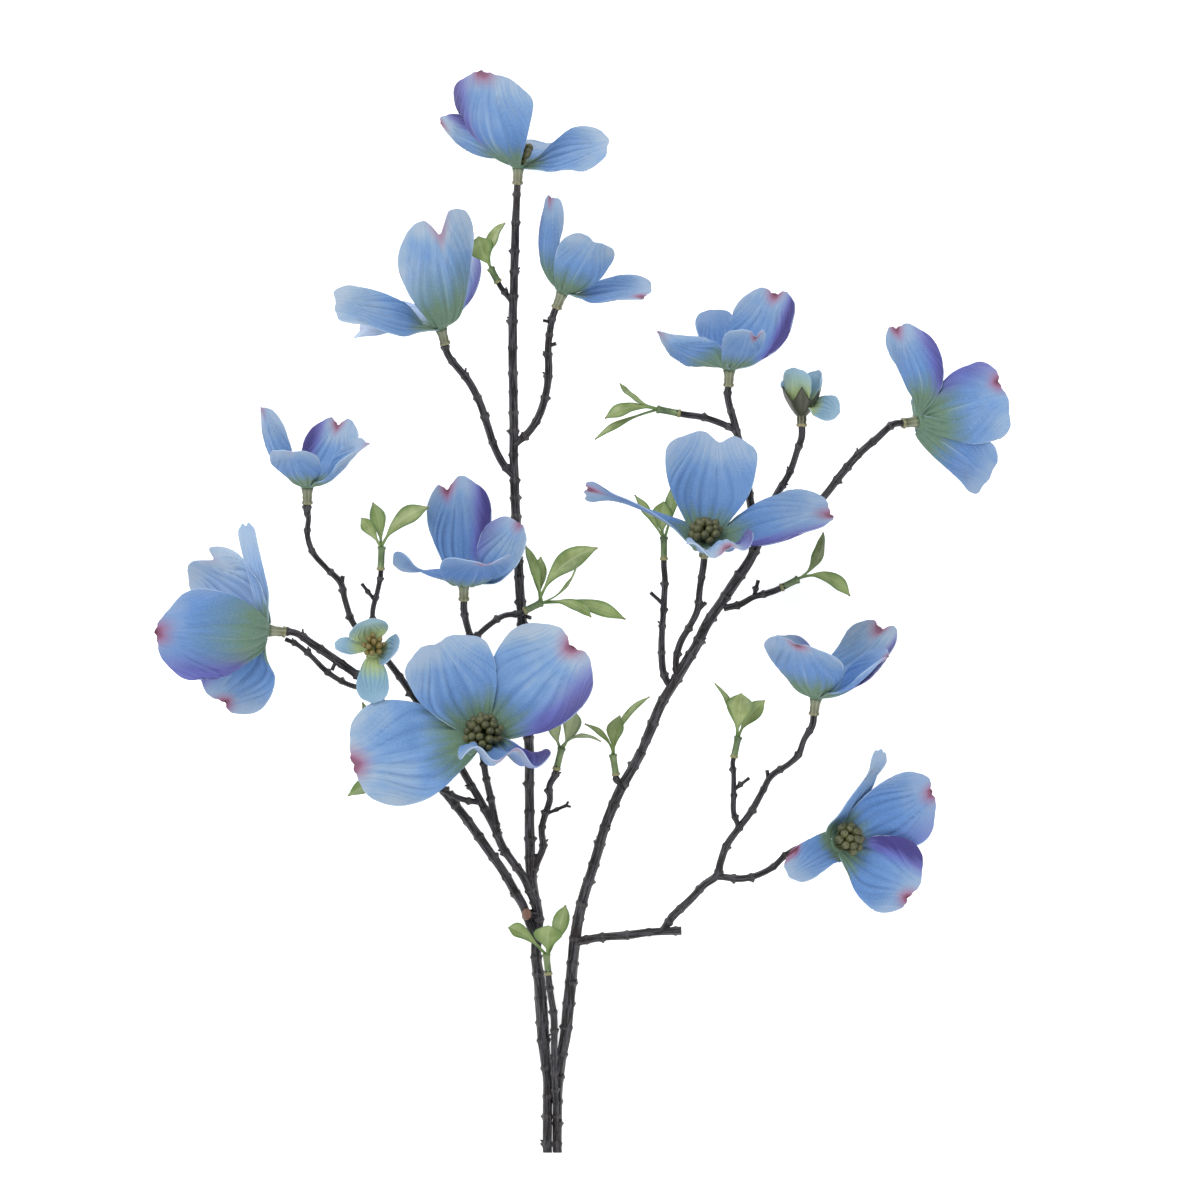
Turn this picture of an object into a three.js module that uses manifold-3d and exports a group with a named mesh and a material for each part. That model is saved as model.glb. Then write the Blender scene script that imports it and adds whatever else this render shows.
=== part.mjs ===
// Dogwood flower branch: an artificial spray of twelve open blooms, two small half-open blooms and
// eleven leaf sprigs on moulded twigs, lying on a table.
// Units are millimetres, +Z is up and the table is z = 0. The spray lies in the XY plane with its cut
// end towards -Y. Every piece is one closed solid and touching pieces keep a gap of CLEARANCE.

import * as THREE from "three";
import { mergeVertices } from "three/addons/utils/BufferGeometryUtils.js";
import Module from "manifold-3d";

const wasm = await Module();
wasm.setup();

// ---------------------------------------------------------------- driving dimensions

const CLEARANCE = 0.3; // gap between pieces that touch

const PETAL = {
  thickness: 0.7,
  columns: 4, // cells across a petal
  rows: 3, // cells along a petal
  spacing: 0.85, // below 1, the rows draw closer towards the tip
  root: 2, // distance of the root from the bloom's axis
  neck: 0.16, // width at the root, as a share of the full width
  fullest: 0.7, // where along the petal it is widest
  shoulder: 0.7, // how far along the petal its side edges reach
  notchWidth: 0.17, // half width of the tip notch, as a share of the half width
  lean: 0.36, // length of the rib's handles, as a share of the petal's reach
  squareness: 2.2, // how square the tip's outline is, where 2 is an ellipse
  swell: 0.9, // below 1, the sides fill out sooner from the neck to the fullest width
  cupBy: 0.25, // where along the petal its cup is formed
  cupFade: 0.3, // share of the cup lost at the tip
  rollBy: 0.35, // where along the petal its roll is complete
  ripples: 9, // turn of the edge ripples from root to tip, in radians
  rippleShift: 2, // shift of the ripples at either edge, in radians
};

// The disc that the four petals share: radius at its top and at its foot, and half its thickness.
const HUB = { radius: 3.6, foot: 2.8, half: 0.9, sides: 6 };

const COLLAR = {
  length: 7.5,
  mouthRadius: 2.7, // at the petals
  waist: 3, // height of the mouth above the waist
  waistRadius: 1.9,
  lip: 1.8, // height of the widest ring above the end
  lipRadius: 2.5,
  endRadius: 2.25, // at the twig
  sides: 6,
};

const PIN = { radius: 0.9, sides: 4 }; // stalk of the bead cluster

const BEAD = {
  radius: 1.7,
  sunk: 1.1, // how far the cluster's core lies inside the beads' middles
  dome: 0.7, // height to radius of a cluster
  coreFoot: 1, // depth of the core's pointed foot
  coreSides: 8,
};
const GOLDEN_ANGLE = Math.PI * (3 - Math.sqrt(5));

const TWIG = {
  sides: 5,
  step: 15, // distance between a twig's rings
  lead: 4, // how far a twig runs straight into a collar
  seatRadius: 1.6, // radius of a twig where it meets a collar
  stubTaper: 0.85, // end radius of a cut side shoot, as a share of its root's
  space: 0.35, // room that a plugged piece leaves round the stem it meets
};

const LEAF = {
  thickness: 0.7,
  columns: 2, // cells across a leaf, one on either side of its rib
  rows: 3, // cells along a leaf
  stalk: 0.55, // half width of the stalk
  stalkTaper: 0.5, // share of that width lost towards the tip
  stalkEnd: 0.15, // where along the leaf its blade begins
  fold: 0.2, // rise of the edges above the rib, as a share of the half width
  sunk: 1.5, // how far a leaf reaches down into its sleeve
  spread: 0.7, // distance of a leaf's root from the sleeve's middle
};

const SLEEVE = { base: 1.8, top: 1.5, sides: 5 }; // radius at either end
const STRAIGHT = Infinity; // ring step of a tube that has rings at its two ends only
const TABLE = { size: 800, depth: 60 };

// ---------------------------------------------------------------- materials

const standard = (color, roughness) => new THREE.MeshStandardMaterial({ color, roughness, metalness: 0 });

const MATERIALS = {
  petal: standard(0x7c9fd3, 0.75),
  smallPetal: standard(0x86b4c6, 0.75),
  beads: standard(0x5d5d38, 0.6),
  collar: standard(0xa9a67c, 0.45),
  calyx: standard(0x4d5636, 0.5),
  leaf: standard(0x93ab5c, 0.5),
  bark: standard(0x35322f, 0.55),
};

// ---------------------------------------------------------------- the blooms

// hub: middle of the disc that the petals grow from; axis: the way the bloom faces.
// A petal's tip is measured from the hub. rise: slope of the petal above the plane of the hub, at
// its root and at its tip, in degrees. roll and twist: turn of the blade about its rib, in degrees,
// the second one growing towards the tip. cup: half the angle that the blade bends through across
// its width, in radians. notch: depth of the tip notch as a share of the length. sway: sideways bow
// of the rib. wave: height of the edge ripples. taper: share of the width lost towards the tip.
// neck and fullest take the place of PETAL's own. beads: the cluster's dome and its height.
const BLOOMS = [
  {
    name: "bloom_01",
    hub: [-29.5, 201, 42],
    axis: [0.05, 1, 0.15],
    beads: { count: 6, radius: 4.2, height: 6 },
    petals: [
      { tip: [-13, 44, 27], width: 47, rise: [25, 80], neck: 0.3, cup: 0.6, notch: -0.02, sway: -4 },
      { tip: [-34, 23, -10], width: 26, rise: [30, 50], roll: 35, cup: 0.6 },
      { tip: [41, 11, 8], width: 27, rise: [10, 10], roll: 38, cup: 0.4, notch: 0.02, neck: 0.2, wave: 1 },
      { tip: [14, 12, -42], width: 34, rise: [15, 15], cup: 0.4 },
    ],
  },
  {
    name: "bloom_02",
    hub: [-64.5, 128.5, 42],
    axis: [-0.25, 0.93, 0.15],
    beads: { count: 4, radius: 3, height: 5 },
    petals: [
      { tip: [-3, 51, 26], width: 46, rise: [15, 85], cup: 0.6, notch: 0.1 },
      { tip: [-50, 14, 8], width: 34, rise: [10, 15], roll: 30, cup: 0.5, notch: 0.03 },
      { tip: [-43, 0, -20], width: 22, rise: [25, -5], roll: -20, cup: 0.5 },
      { tip: [9, 33, -31], width: 28, rise: [15, 50], cup: 0.5 },
    ],
  },
  {
    name: "bloom_03",
    hub: [-9.5, 144.5, 42],
    axis: [0.35, 0.9, 0.05],
    beads: { count: 4, radius: 3, height: 5 },
    petals: [
      { tip: [-5, 43, 6], width: 18, rise: [20, 75], roll: 30, cup: 0.9, notch: 0.03 },
      { tip: [14, 23, 30], width: 28, rise: [15, 35], cup: 0.5, notch: 0.12 },
      { tip: [39, -1, 6], width: 26, rise: [0, 5], roll: 28, cup: 0.5, notch: 0.04 },
      { tip: [8, 14, -41], width: 34, rise: [10, 10], cup: 0.5 },
    ],
  },
  {
    name: "bloom_04",
    hub: [65.5, 110, 42],
    axis: [0.05, 1, 0.1],
    beads: { count: 4, radius: 3, height: 5 },
    petals: [
      { tip: [-33, 15, 16], width: 33, rise: [10, 35], roll: 32, cup: 0.7, notch: 0 },
      { tip: [-7, 27, -32], width: 25, rise: [20, 50], cup: 0.5, notch: 0.04, wave: 1 },
      { tip: [20, 36, -20], width: 32, rise: [10, 70], roll: 10, cup: 0.6, notch: 0.06 },
      { tip: [11, 16, 33], width: 27, rise: [15, 45], cup: 0.6, notch: 0.07 },
    ],
  },
  {
    name: "bloom_05",
    hub: [150.5, 86, 42],
    axis: [0.85, 0.1, -0.45],
    beads: { count: 4, radius: 3, height: 5 },
    petals: [
      { tip: [-5, 44, 5], width: 26, rise: [20, 0], roll: 30, cup: 0.5, notch: 0.05, sway: 5 },
      { tip: [43, 13, 20], width: 38, rise: [25, 45], cup: 0.4, notch: 0.03 },
      { tip: [32, -29, 8], width: 31, rise: [30, 20], cup: 0.3, notch: 0 },
      { tip: [-2, 2, -43.5], width: 31, rise: [20, 10], cup: 0.5 },
    ],
  },
  {
    name: "bloom_06",
    hub: [-124.5, 57, 42],
    axis: [0, 1, 0.1],
    beads: { count: 4, radius: 3, height: 5 },
    petals: [
      { tip: [-20, 36, -4], width: 27, rise: [25, 80], roll: 45, cup: 0.6, notch: 0.03 },
      { tip: [-8, 16, 31], width: 24, rise: [15, 45], cup: 0.6, notch: 0 },
      { tip: [12, 31, -42.2], width: 28, rise: [15, 50], cup: 0.6, notch: 0.1 },
      { tip: [26, 19, 16], width: 30, rise: [10, 40], roll: 8, cup: 1, notch: -0.06 },
    ],
  },
  {
    name: "bloom_07",
    hub: [-142.5, -8, 42],
    axis: [-0.97, 0.1, 0.15],
    beads: { count: 4, radius: 3, height: 5 },
    petals: [
      { tip: [-49, -4, 23], width: 42, rise: [15, 85], cup: 0.6, notch: -0.04 },
      { tip: [-35, 29, -12], width: 36, rise: [20, 70], roll: 40, cup: 0.5, wave: 1.5 },
      { tip: [-11, 48, -14], width: 17, rise: [20, 0], roll: 35, cup: 0.8, notch: 0.02 },
      { tip: [-22, -34, -16], width: 35, rise: [20, 40], roll: -70, cup: 0.4, notch: 0.08 },
    ],
  },
  {
    name: "bloom_08",
    hub: [-54, 13.5, 50],
    axis: [0, 1, 0.25],
    beads: { count: 4, radius: 3, height: 6 },
    petals: [
      { tip: [-3, 48, -14], width: 31, rise: [20, 75], fullest: 0.78, cup: 0.6, notch: 0.06 },
      { tip: [25, 27, 7], width: 28, rise: [15, 60], roll: 45, cup: 0.6, notch: 0.03 },
      { tip: [5, 11, 38], width: 31, rise: [-5, 25], cup: 0.6, notch: 0.04 },
      { tip: [-32, 10, -14], width: 22, rise: [10, 15], twist: 60, cup: 0.3, notch: 0.02 },
    ],
  },
  {
    name: "bloom_09",
    hub: [54.5, 32, 52],
    axis: [0.05, 0.8, 0.6],
    beads: { count: 11, radius: 6.2, height: 4.5 },
    petals: [
      { tip: [4, 49, -10], width: 42, rise: [15, 45], fullest: 0.78, wave: 1 },
      { tip: [57, 13, 4], width: 36, rise: [10, 5], cup: 0.4, notch: 0 },
      { tip: [-54, 22, 4], width: 19, rise: [25, 0], roll: 20, twist: 40, cup: 0.4, notch: 0.02 },
      { tip: [10, -5, 44], width: 31, rise: [10, 5], cup: 0.4, notch: 0.03, wave: 1.5 },
    ],
  },
  {
    name: "bloom_10",
    hub: [-45.5, -56, 54],
    axis: [0.03, 0.4, 0.92],
    beads: { count: 13, radius: 7.4, height: 4.8 },
    petals: [
      { tip: [-57, -11, 12], width: 50, rise: [5, 10], cup: 0.3, notch: 0.04 },
      { tip: [-19, 45, 2], width: 43, rise: [10, 20], cup: 0.4, notch: 0.02 },
      { tip: [43, 41, 4], width: 46, rise: [5, 15], cup: 0.3, notch: 0.06 },
      { tip: [10, -4, 38], width: 42, rise: [30, 80], cup: 0.2, notch: 0.03, wave: 2 },
    ],
  },
  {
    name: "bloom_11",
    hub: [104.5, -38, 42],
    axis: [0.12, 0.95, 0.1],
    beads: { count: 4, radius: 3, height: 5 },
    petals: [
      { tip: [-9, 25, 32], width: 38, rise: [20, 40], cup: 0.5, notch: 0.06 },
      { tip: [30, 35, -20], width: 34, rise: [15, 60], cup: 0.6 },
      { tip: [32, 19, 16], width: 32, rise: [15, 45], cup: 0.7, notch: 0.03 },
      { tip: [2, 12, -44.5], width: 34, rise: [15, 15], cup: 0.5 },
    ],
  },
  {
    name: "bloom_12",
    hub: [114, -104.5, 28],
    axis: [0.68, 0.32, 0.66],
    beads: { count: 11, radius: 6, height: 7.2 },
    petals: [
      { tip: [44, 22, 2], width: 42, rise: [25, 30], cup: 0.4, notch: 0 },
      { tip: [34, -22, -18], width: 42, rise: [15, 25], cup: 0.4, notch: 0.04 },
      { tip: [-24, -14, 26], width: 20, rise: [5, -10], roll: 25, neck: 0.7, cup: 0.4, notch: 0.03 },
      { tip: [19, 42, 6], width: 22, rise: [20, 25], neck: 0.6, fullest: 0.4, taper: 0.7, notch: 0 },
    ],
  },
];

const SMALL_BLOOMS = [
  {
    name: "small_bloom_01",
    hub: [98, 92, 46],
    axis: [0, 1, 0],
    beads: { count: 3, radius: 1.8, height: 3 },
    petals: [
      { tip: [-4, 18, 5], width: 17, rise: [30, 90], neck: 0.5, cup: 0.9, notch: 0 },
      { tip: [7, 17, -5], width: 17, rise: [30, 90], neck: 0.5, cup: 0.7, notch: 0 },
      { tip: [18, 1.5, 4], width: 14, rise: [10, 0], roll: 40, cup: 0.5, notch: 0 },
      { tip: [-4, 14, -8], width: 15, rise: [30, 70], neck: 0.4, cup: 0.7, notch: 0 },
    ],
  },
  {
    name: "small_bloom_02",
    hub: [-95, -16.5, 53],
    axis: [0.05, 0.3, 0.95],
    beads: { count: 7, radius: 4, height: 4 },
    petals: [
      { tip: [-3, 15, 4], width: 19, rise: [20, 45], cup: 0.6, notch: 0 },
      { tip: [11, 0, 12], width: 16, rise: [20, 70], cup: 0.5, notch: 0 },
      { tip: [-17, 2, 4], width: 8, rise: [10, 10], cup: 0.5, notch: 0 },
      { tip: [0, -24, 4], width: 15, rise: [20, 5], cup: 0.5, notch: 0 },
    ],
  },
];

// ---------------------------------------------------------------- the leaf sprigs

// base and top: ends of the green sleeve.
// A leaf's tip is measured from the sleeve's top. bow: how far the middle of its rib stands off the
// straight line to the tip. face: which way its upper side looks. width: across the blade.
const SPRIGS = [
  {
    name: "leaf_sprig_01",
    base: [-38.5, 148.5, 43],
    top: [-42, 155, 44],
    leaves: [
      { tip: [-6, 14, 1], bow: [-1, 0, 1], face: [-0.3, 0, 1], width: 9 },
      { tip: [6, 20, 3], bow: [-3, 1, 1], face: [-0.8, 0.2, 0.6], width: 8 },
    ],
  },
  {
    name: "leaf_sprig_02",
    base: [43.5, 89.5, 43],
    top: [33, 91.5, 44],
    leaves: [
      { tip: [-17, 11, 3], bow: [-2, -1.5, 1], face: [0.5, 0.6, 0.5], width: 6 },
      { tip: [-24, -5, 2], bow: [0, 3, 2], face: [0, 0.6, 0.8], width: 9 },
      { tip: [-28, -13, -2], bow: [-2, 4, 0], face: [0, 0.9, 0.4], width: 7 },
    ],
  },
  {
    name: "leaf_sprig_03",
    base: [-91.5, 19, 42],
    top: [-91, 29.5, 43],
    leaves: [
      { tip: [-8.5, 13, 4], bow: [0, 1, 2], face: [0, -0.3, 1], width: 6 },
      { tip: [-3.5, 20, -2], bow: [1, 0, 0], face: [0.2, 0, 1], width: 7 },
      { tip: [20.5, 18, 3], bow: [-3, 2, 1], face: [-0.3, 0.4, 0.9], width: 9 },
    ],
  },
  {
    name: "leaf_sprig_04",
    base: [-27, 0.5, 47],
    top: [-19, 4.5, 48],
    leaves: [
      { tip: [-7, 25, 1], bow: [1, 0, 2], face: [0.6, 0, 0.8], width: 6 },
      { tip: [0, 20, -2], bow: [-1, 0, -1], face: [0.3, 0, 1], width: 7 },
      { tip: [25.5, 24, 2], bow: [-4, 3, 2], face: [-0.3, 0.2, 1], width: 10 },
      { tip: [17, 19, 7], bow: [3, -3, 2], face: [-0.7, 0.7, 0.2], width: 5 },
      { tip: [22, -6, 4], bow: [2, 3, 1], face: [0.1, 0.5, 0.9], width: 6 },
      { tip: [37.5, -7, -3], bow: [0, 3, 0], face: [0, 0.4, 0.9], width: 7 },
    ],
  },
  {
    name: "leaf_sprig_05",
    base: [36, 23.5, 38],
    top: [36, 34, 38.5],
    leaves: [
      { tip: [-12.5, 19, 2], bow: [1, -1, 1], face: [0.6, 0.3, 0.7], width: 5 },
      { tip: [0, 16, -3], bow: [-1, 0, -1], face: [0, 0, 1], width: 9 },
      { tip: [4, 24, -6], bow: [1, 0, -1], face: [-0.5, 0, 0.9], width: 6 },
    ],
  },
  {
    name: "leaf_sprig_06",
    base: [88.5, 11, 42],
    top: [96.5, 15, 42.5],
    leaves: [
      { tip: [11.5, 20.5, 2], bow: [3, -2, 1], face: [-0.7, 0.3, 0.6], width: 8 },
      { tip: [23, -7, -1], bow: [1, 5, 1], face: [0, 0.5, 0.9], width: 7 },
    ],
  },
  {
    name: "leaf_sprig_07",
    base: [67.5, -65.5, 35],
    top: [69.5, -56, 36],
    leaves: [
      { tip: [-10, 24, 3], bow: [2, 1, 1], face: [0.8, 0.2, 0.5], width: 4 },
      { tip: [2, 19.5, 1], bow: [0, 1, 2], face: [0, -0.3, 1], width: 12 },
      { tip: [11, 16, -3], bow: [1, -2, -1], face: [0.3, 0, 1], width: 8 },
    ],
  },
  {
    name: "leaf_sprig_08",
    base: [-12.5, -71, 33],
    top: [-10, -61, 34.5],
    leaves: [
      { tip: [-3, 14, -3], bow: [-1, 0, -1], face: [0, 0, 1], width: 6 },
      { tip: [6, 16, -2], bow: [1, 0, 1], face: [-0.4, 0, 0.9], width: 9 },
      { tip: [17, 3, 3], bow: [0, 4, 1], face: [0.2, 0.8, 0.5], width: 5 },
    ],
  },
  {
    name: "leaf_sprig_09",
    base: [14.5, -73.5, 33],
    top: [13, -64, 34],
    leaves: [
      { tip: [4, 18, 1], bow: [-1, 0, 2], face: [-0.5, 0, 0.9], width: 8 },
      { tip: [16, 26, -2], bow: [-4, 2, -1], face: [-0.5, 0.2, 0.8], width: 5 },
      { tip: [-12, 14, 4], bow: [3, 1, 1], face: [0.4, 0.5, 0.7], width: 4 },
    ],
  },
  {
    name: "leaf_sprig_10",
    base: [-16, -163.5, 22],
    top: [-17, -154, 23.5],
    leaves: [
      { tip: [-16.5, 12, 2], bow: [-1, 3, 2], face: [0.2, 0.4, 0.9], width: 7 },
      { tip: [0.5, 13, 4], bow: [0, 1, 2], face: [0, -0.2, 1], width: 13 },
      { tip: [8, 22, -1], bow: [1, 0, 1], face: [-0.3, 0, 1], width: 8 },
    ],
  },
  {
    name: "leaf_sprig_11",
    base: [-68.5, -78, 36],
    top: [-77, -73, 37.5],
    leaves: [
      { tip: [-29, -9, 3], bow: [0, 3, 1], face: [0, 0.3, 1], width: 8 },
      { tip: [-23, 32, 6], bow: [-3, 0, 1], face: [0.2, 0, 1], width: 7 },
    ],
  },
];

// ---------------------------------------------------------------- the stems and twigs

// Each route is [x, y, z, radius] points, chosen by hand, and "carries" names the bloom or sprig at
// its end. "butts" names the stem that the piece is plugged against. A stub is a cut side shoot:
// [from, to, radius].
const STEMS = [
  {
    name: "stem_centre",
    routes: [
      {
        carries: "bloom_01",
        points: [
          [-16.5, -244, 1.4, 2], [-16.5, -228, 1.4, 2.1], [-16.5, -212.5, 3, 2.1],
          [-17.5, -201.5, 5, 2.2], [-18.5, -190, 7.5, 2.4], [-19, -179, 10, 2.5],
          [-20, -167.5, 12.5, 2.3], [-21.5, -156.5, 15, 2.1], [-21.5, -147.5, 17, 2.1],
          [-20.5, -137.5, 19, 2.1], [-22.5, -127, 21, 2.2], [-24, -116, 23, 2.2],
          [-24.5, -102.5, 25.5, 2.3], [-24.5, -84.5, 28.5, 2.1], [-24.5, -66.5, 31, 2.2],
          [-25.5, -48.5, 33, 2.1], [-27, -26, 35, 2.1], [-28, -3.5, 37, 2.2], [-29, 12.5, 38, 2.1],
          [-30, 32.5, 39, 2.1], [-31, 50.5, 39.5, 2.1], [-31.5, 68.5, 40, 2], [-31.5, 86.5, 40.5, 2.1],
          [-32, 104.5, 41, 2], [-32, 127, 41, 2], [-31.5, 149.5, 41, 1.9], [-31, 167.5, 41, 1.9],
        ],
      },
      {
        carries: "bloom_02",
        points: [
          [-31.5, 61.5, 40, 1.7], [-36, 66.5, 40.5, 1.7], [-40, 74, 41, 1.7], [-43.5, 84.5, 41.5, 1.8],
          [-47, 94.5, 42, 1.7], [-51.5, 103.5, 42, 1.7],
        ],
      },
      {
        carries: "bloom_03",
        points: [
          [-31.5, 75.5, 40.5, 1.7], [-25, 81, 41, 1.7], [-20, 89, 41.5, 1.8], [-17, 99, 42, 1.7],
          [-16, 109, 42, 1.8], [-16, 120.5, 42, 1.6],
        ],
      },
      { carries: "leaf_sprig_01", points: [[-32, 139.5, 41, 1.3], [-35.5, 144, 42, 1.2]] },
      {
        carries: "bloom_08",
        points: [
          [-26.5, -38, 34.5, 1.5], [-38.5, -29, 37, 1.5], [-48, -20, 40, 1.4], [-51, -11.5, 43, 1.5],
        ],
      },
      {
        carries: "leaf_sprig_04",
        points: [[-50.5, -13, 42.5, 1.3], [-43, -6, 45.5, 1.3], [-36, -1.5, 47, 1.3]],
      },
      {
        carries: "leaf_sprig_08",
        points: [
          [-23.5, -120.5, 22.5, 1.5], [-21, -112.5, 24, 1.6], [-18.5, -106, 25.5, 1.6],
          [-19, -98, 27.5, 1.5], [-17.5, -91, 29.5, 1.5], [-15.5, -84.5, 31, 1.5], [-15.5, -78, 32, 1.5],
        ],
      },
    ],
    stubs: [
      [[-16, 120, 42], [-12.5, 121, 43], 1],
      [[-16, 131, 42], [-18.5, 131.5, 42], 0.8],
      [[-17.5, -91, 29.5], [-8, -87, 31], 0.9],
      [[-29, -0.5, 37.5], [-24, -2.5, 41], 1],
      [[-22, -136, 19], [-25, -135.5, 21.5], 2],
    ],
  },
  {
    name: "branch_left",
    butts: "stem_centre",
    routes: [
      {
        carries: "bloom_07",
        points: [
          [-20.5, -150, 17.5, 1.9], [-24.5, -140, 19, 2], [-27.5, -132, 20.5, 2], [-31, -126, 21.5, 2.1],
          [-37, -116, 23.5, 2], [-46, -103, 25.5, 2.1], [-54, -91.5, 27.5, 2], [-61.5, -82.5, 29, 2],
          [-71, -70, 31, 1.9], [-81, -56, 33.5, 1.8], [-89, -44, 35, 1.9], [-94.5, -35, 36.5, 1.8],
          [-101, -29, 37.5, 1.8], [-111.5, -21.5, 39, 1.9], [-121.5, -14.5, 40.5, 1.8],
        ],
      },
      {
        points: [
          [-88.5, -45, 35, 1.3], [-92, -38.5, 35, 1.3], [-98, -35, 35.5, 1.3], [-107, -32, 36, 1.2],
          [-116, -26.5, 37, 1.3], [-123, -19.5, 37.5, 1.2], [-129, -14.5, 37.5, 1.1],
          [-134.5, -12, 37, 1],
        ],
      },
    ],
    stubs: [[[-111.5, -21.5, 39], [-113.5, -26, 39.5], 1]],
  },
  {
    name: "branch_inner",
    butts: "stem_centre",
    routes: [
      {
        carries: "bloom_06",
        points: [
          [-22.5, -130, 22, 1.8], [-27, -119.5, 25.5, 1.9], [-32, -112.5, 28, 1.8], [-37, -105, 30, 1.9],
          [-40.5, -97, 31.5, 1.7], [-45.5, -87, 33, 1.8], [-51.5, -76.5, 34.5, 1.7],
          [-57.5, -66, 36, 1.7], [-65, -54, 37.5, 1.6], [-73, -43, 39, 1.6], [-81, -31.5, 40, 1.6],
          [-88.5, -21.5, 41, 1.5], [-92, -17, 41, 1.4], [-99, -10.5, 41, 1.3], [-104, -4.5, 41, 1.4],
          [-107.5, 5.5, 41, 1.4], [-109.5, 13.5, 41, 1.5], [-116, 20, 41.5, 1.3], [-122, 27, 42, 1.4],
          [-124.5, 35, 42, 1.3], [-124, 43, 42, 1.3],
        ],
      },
      {
        carries: "leaf_sprig_03",
        points: [
          [-92, -17, 41, 1.2], [-94.5, -9.5, 41, 1.2], [-95, 1, 41.5, 1.2], [-93, 9, 42, 1.2],
        ],
      },
      { carries: "small_bloom_02", points: [[-92.5, -17.5, 41, 1.2]] },
      {
        carries: "bloom_10",
        points: [
          [-38.5, -101.5, 30.5, 1.7], [-40.5, -91, 33, 1.6], [-42.5, -81, 36.5, 1.6],
          [-44.5, -72, 40, 1.5],
        ],
      },
      {
        carries: "leaf_sprig_11",
        points: [[-47, -85.5, 33.5, 1.3], [-55, -84, 34.5, 1.3], [-63, -80.5, 35.5, 1.2]],
      },
    ],
    stubs: [
      [[-109, 13, 41], [-108.5, 16.5, 41.5], 1.1],
      [[-94.5, 6, 41.5], [-100, 13, 43], 0.9],
    ],
  },
  {
    name: "twig_middle",
    butts: "stem_right",
    routes: [
      {
        carries: "leaf_sprig_10",
        points: [
          [-12.1, -234, 2.6, 1.2], [-12.6, -224, 5.2, 1.3], [-13.3, -211, 8.6, 1.4],
          [-13.5, -197, 12, 1.5], [-13.5, -183.5, 15.5, 1.6], [-15, -172, 19, 1.5],
        ],
      },
    ],
    stubs: [],
  },
  {
    name: "stem_right",
    butts: "stem_centre",
    routes: [
      {
        points: [
          [-12, -244, 1.4, 2], [-12, -228, 1.4, 2.1], [-11.5, -212.5, 3, 2], [-10.5, -202.5, 5, 2.1],
          [-8.5, -191.5, 7.5, 2.2], [-7, -179, 10.5, 2.2], [-6, -167.5, 13, 2.3], [-5, -156.5, 15.5, 2.2],
          [-4, -146.5, 17.5, 2.4], [-2, -136, 19.5, 2.2], [0.5, -126, 21.5, 2.3], [3.5, -117, 23, 2.2],
          [6, -108, 24.5, 2.3], [9, -98, 26.5, 2.2], [13, -87.5, 28, 2.3], [17.5, -78, 29.5, 2.3],
          [22.5, -69, 31, 2.2], [26, -62.5, 32.5, 2.3],
        ],
      },
      {
        points: [
          [-3, -148.5, 17.5, 2], [8, -146.5, 18, 1.8], [20.5, -145.5, 18.5, 2], [30.5, -144, 19, 1.8],
          [44, -143.5, 19.5, 1.9],
        ],
      },
      { points: [[35, -144, 19.3, 1.6], [38, -140, 20, 1.8], [40, -137, 20.5, 1.8]] },
      { carries: "leaf_sprig_09", points: [[18, -79.5, 30, 1.3], [16.5, -77, 31.5, 1.3]] },
    ],
    stubs: [],
  },
  {
    name: "stem_upper",
    butts: "stem_right",
    routes: [
      {
        points: [
          [26, -62.5, 32.5, 1.9], [30, -53, 34, 2.3], [34, -43, 35, 2.3], [39, -34, 36, 2.3],
          [45, -24, 37, 2.4], [50, -16, 38, 2.3], [55, -6, 38.5, 2.3], [61.5, 4, 39, 2.3],
          [68.5, 14.5, 39.5, 2.4], [74.5, 23.5, 40, 2.2], [78.5, 31.5, 40, 2.2],
        ],
      },
      {
        carries: "bloom_04",
        points: [
          [78.5, 31.5, 40, 1.9], [76.5, 41.5, 40.5, 1.9], [74.5, 53, 41, 1.8], [74, 60.5, 41, 1.7],
          [74, 69.5, 41, 1.8], [70, 77.5, 41, 1.6], [68, 84.5, 41, 1.7],
        ],
      },
      {
        carries: "leaf_sprig_02",
        points: [[68.5, 82, 41, 1.5], [61, 85.5, 42, 1.5], [53, 88, 42.5, 1.5]],
      },
      {
        carries: "small_bloom_01",
        points: [
          [79, 32.5, 40, 1.6], [81.5, 42.5, 40, 1.6], [86.5, 52.5, 41, 1.7], [92.5, 63, 43.5, 1.5],
          [96, 73, 45.5, 1.5],
        ],
      },
      {
        carries: "bloom_05",
        points: [
          [78.5, 31.5, 40, 1.8], [88.5, 35, 40, 1.7], [98, 41.5, 40.5, 1.8], [109, 53.5, 41.5, 1.7],
          [116.5, 63, 42.5, 1.8], [123.5, 71, 43.5, 1.7], [131.5, 78, 45, 1.7],
        ],
      },
      {
        carries: "leaf_sprig_05",
        points: [
          [39.5, -34.5, 36, 1.6], [36, -27.5, 36, 1.6], [35, -17, 36.5, 1.6], [35.5, -3.5, 37, 1.4],
          [36, 5.5, 37, 1.5], [36.5, 14.5, 37.5, 1.4],
        ],
      },
      {
        carries: "bloom_09",
        points: [
          [42, -29.5, 37, 1.5], [41.5, -21.5, 38, 1.5], [43.5, -13.5, 39.5, 1.6], [47.5, -6.5, 41, 1.5],
          [51, 1, 42.5, 1.6], [52, 10, 44, 1.5],
        ],
      },
      {
        carries: "leaf_sprig_06",
        points: [[63, 2, 39, 1.6], [70, 3.5, 40, 1.5], [76.5, 7, 41, 1.4], [82, 8.5, 41.5, 1.5]],
      },
    ],
    stubs: [
      [[35.5, 4, 37], [30, 9, 38.5], 1],
      [[50.5, 0, 42], [55, 4.5, 43.5], 1],
      [[76.5, 7, 41], [78.5, 14.5, 42.5], 1],
      [[53, -7.5, 39], [54, -6, 42], 1.4],
    ],
  },
  {
    name: "branch_low",
    butts: "stem_right",
    routes: [
      {
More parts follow.
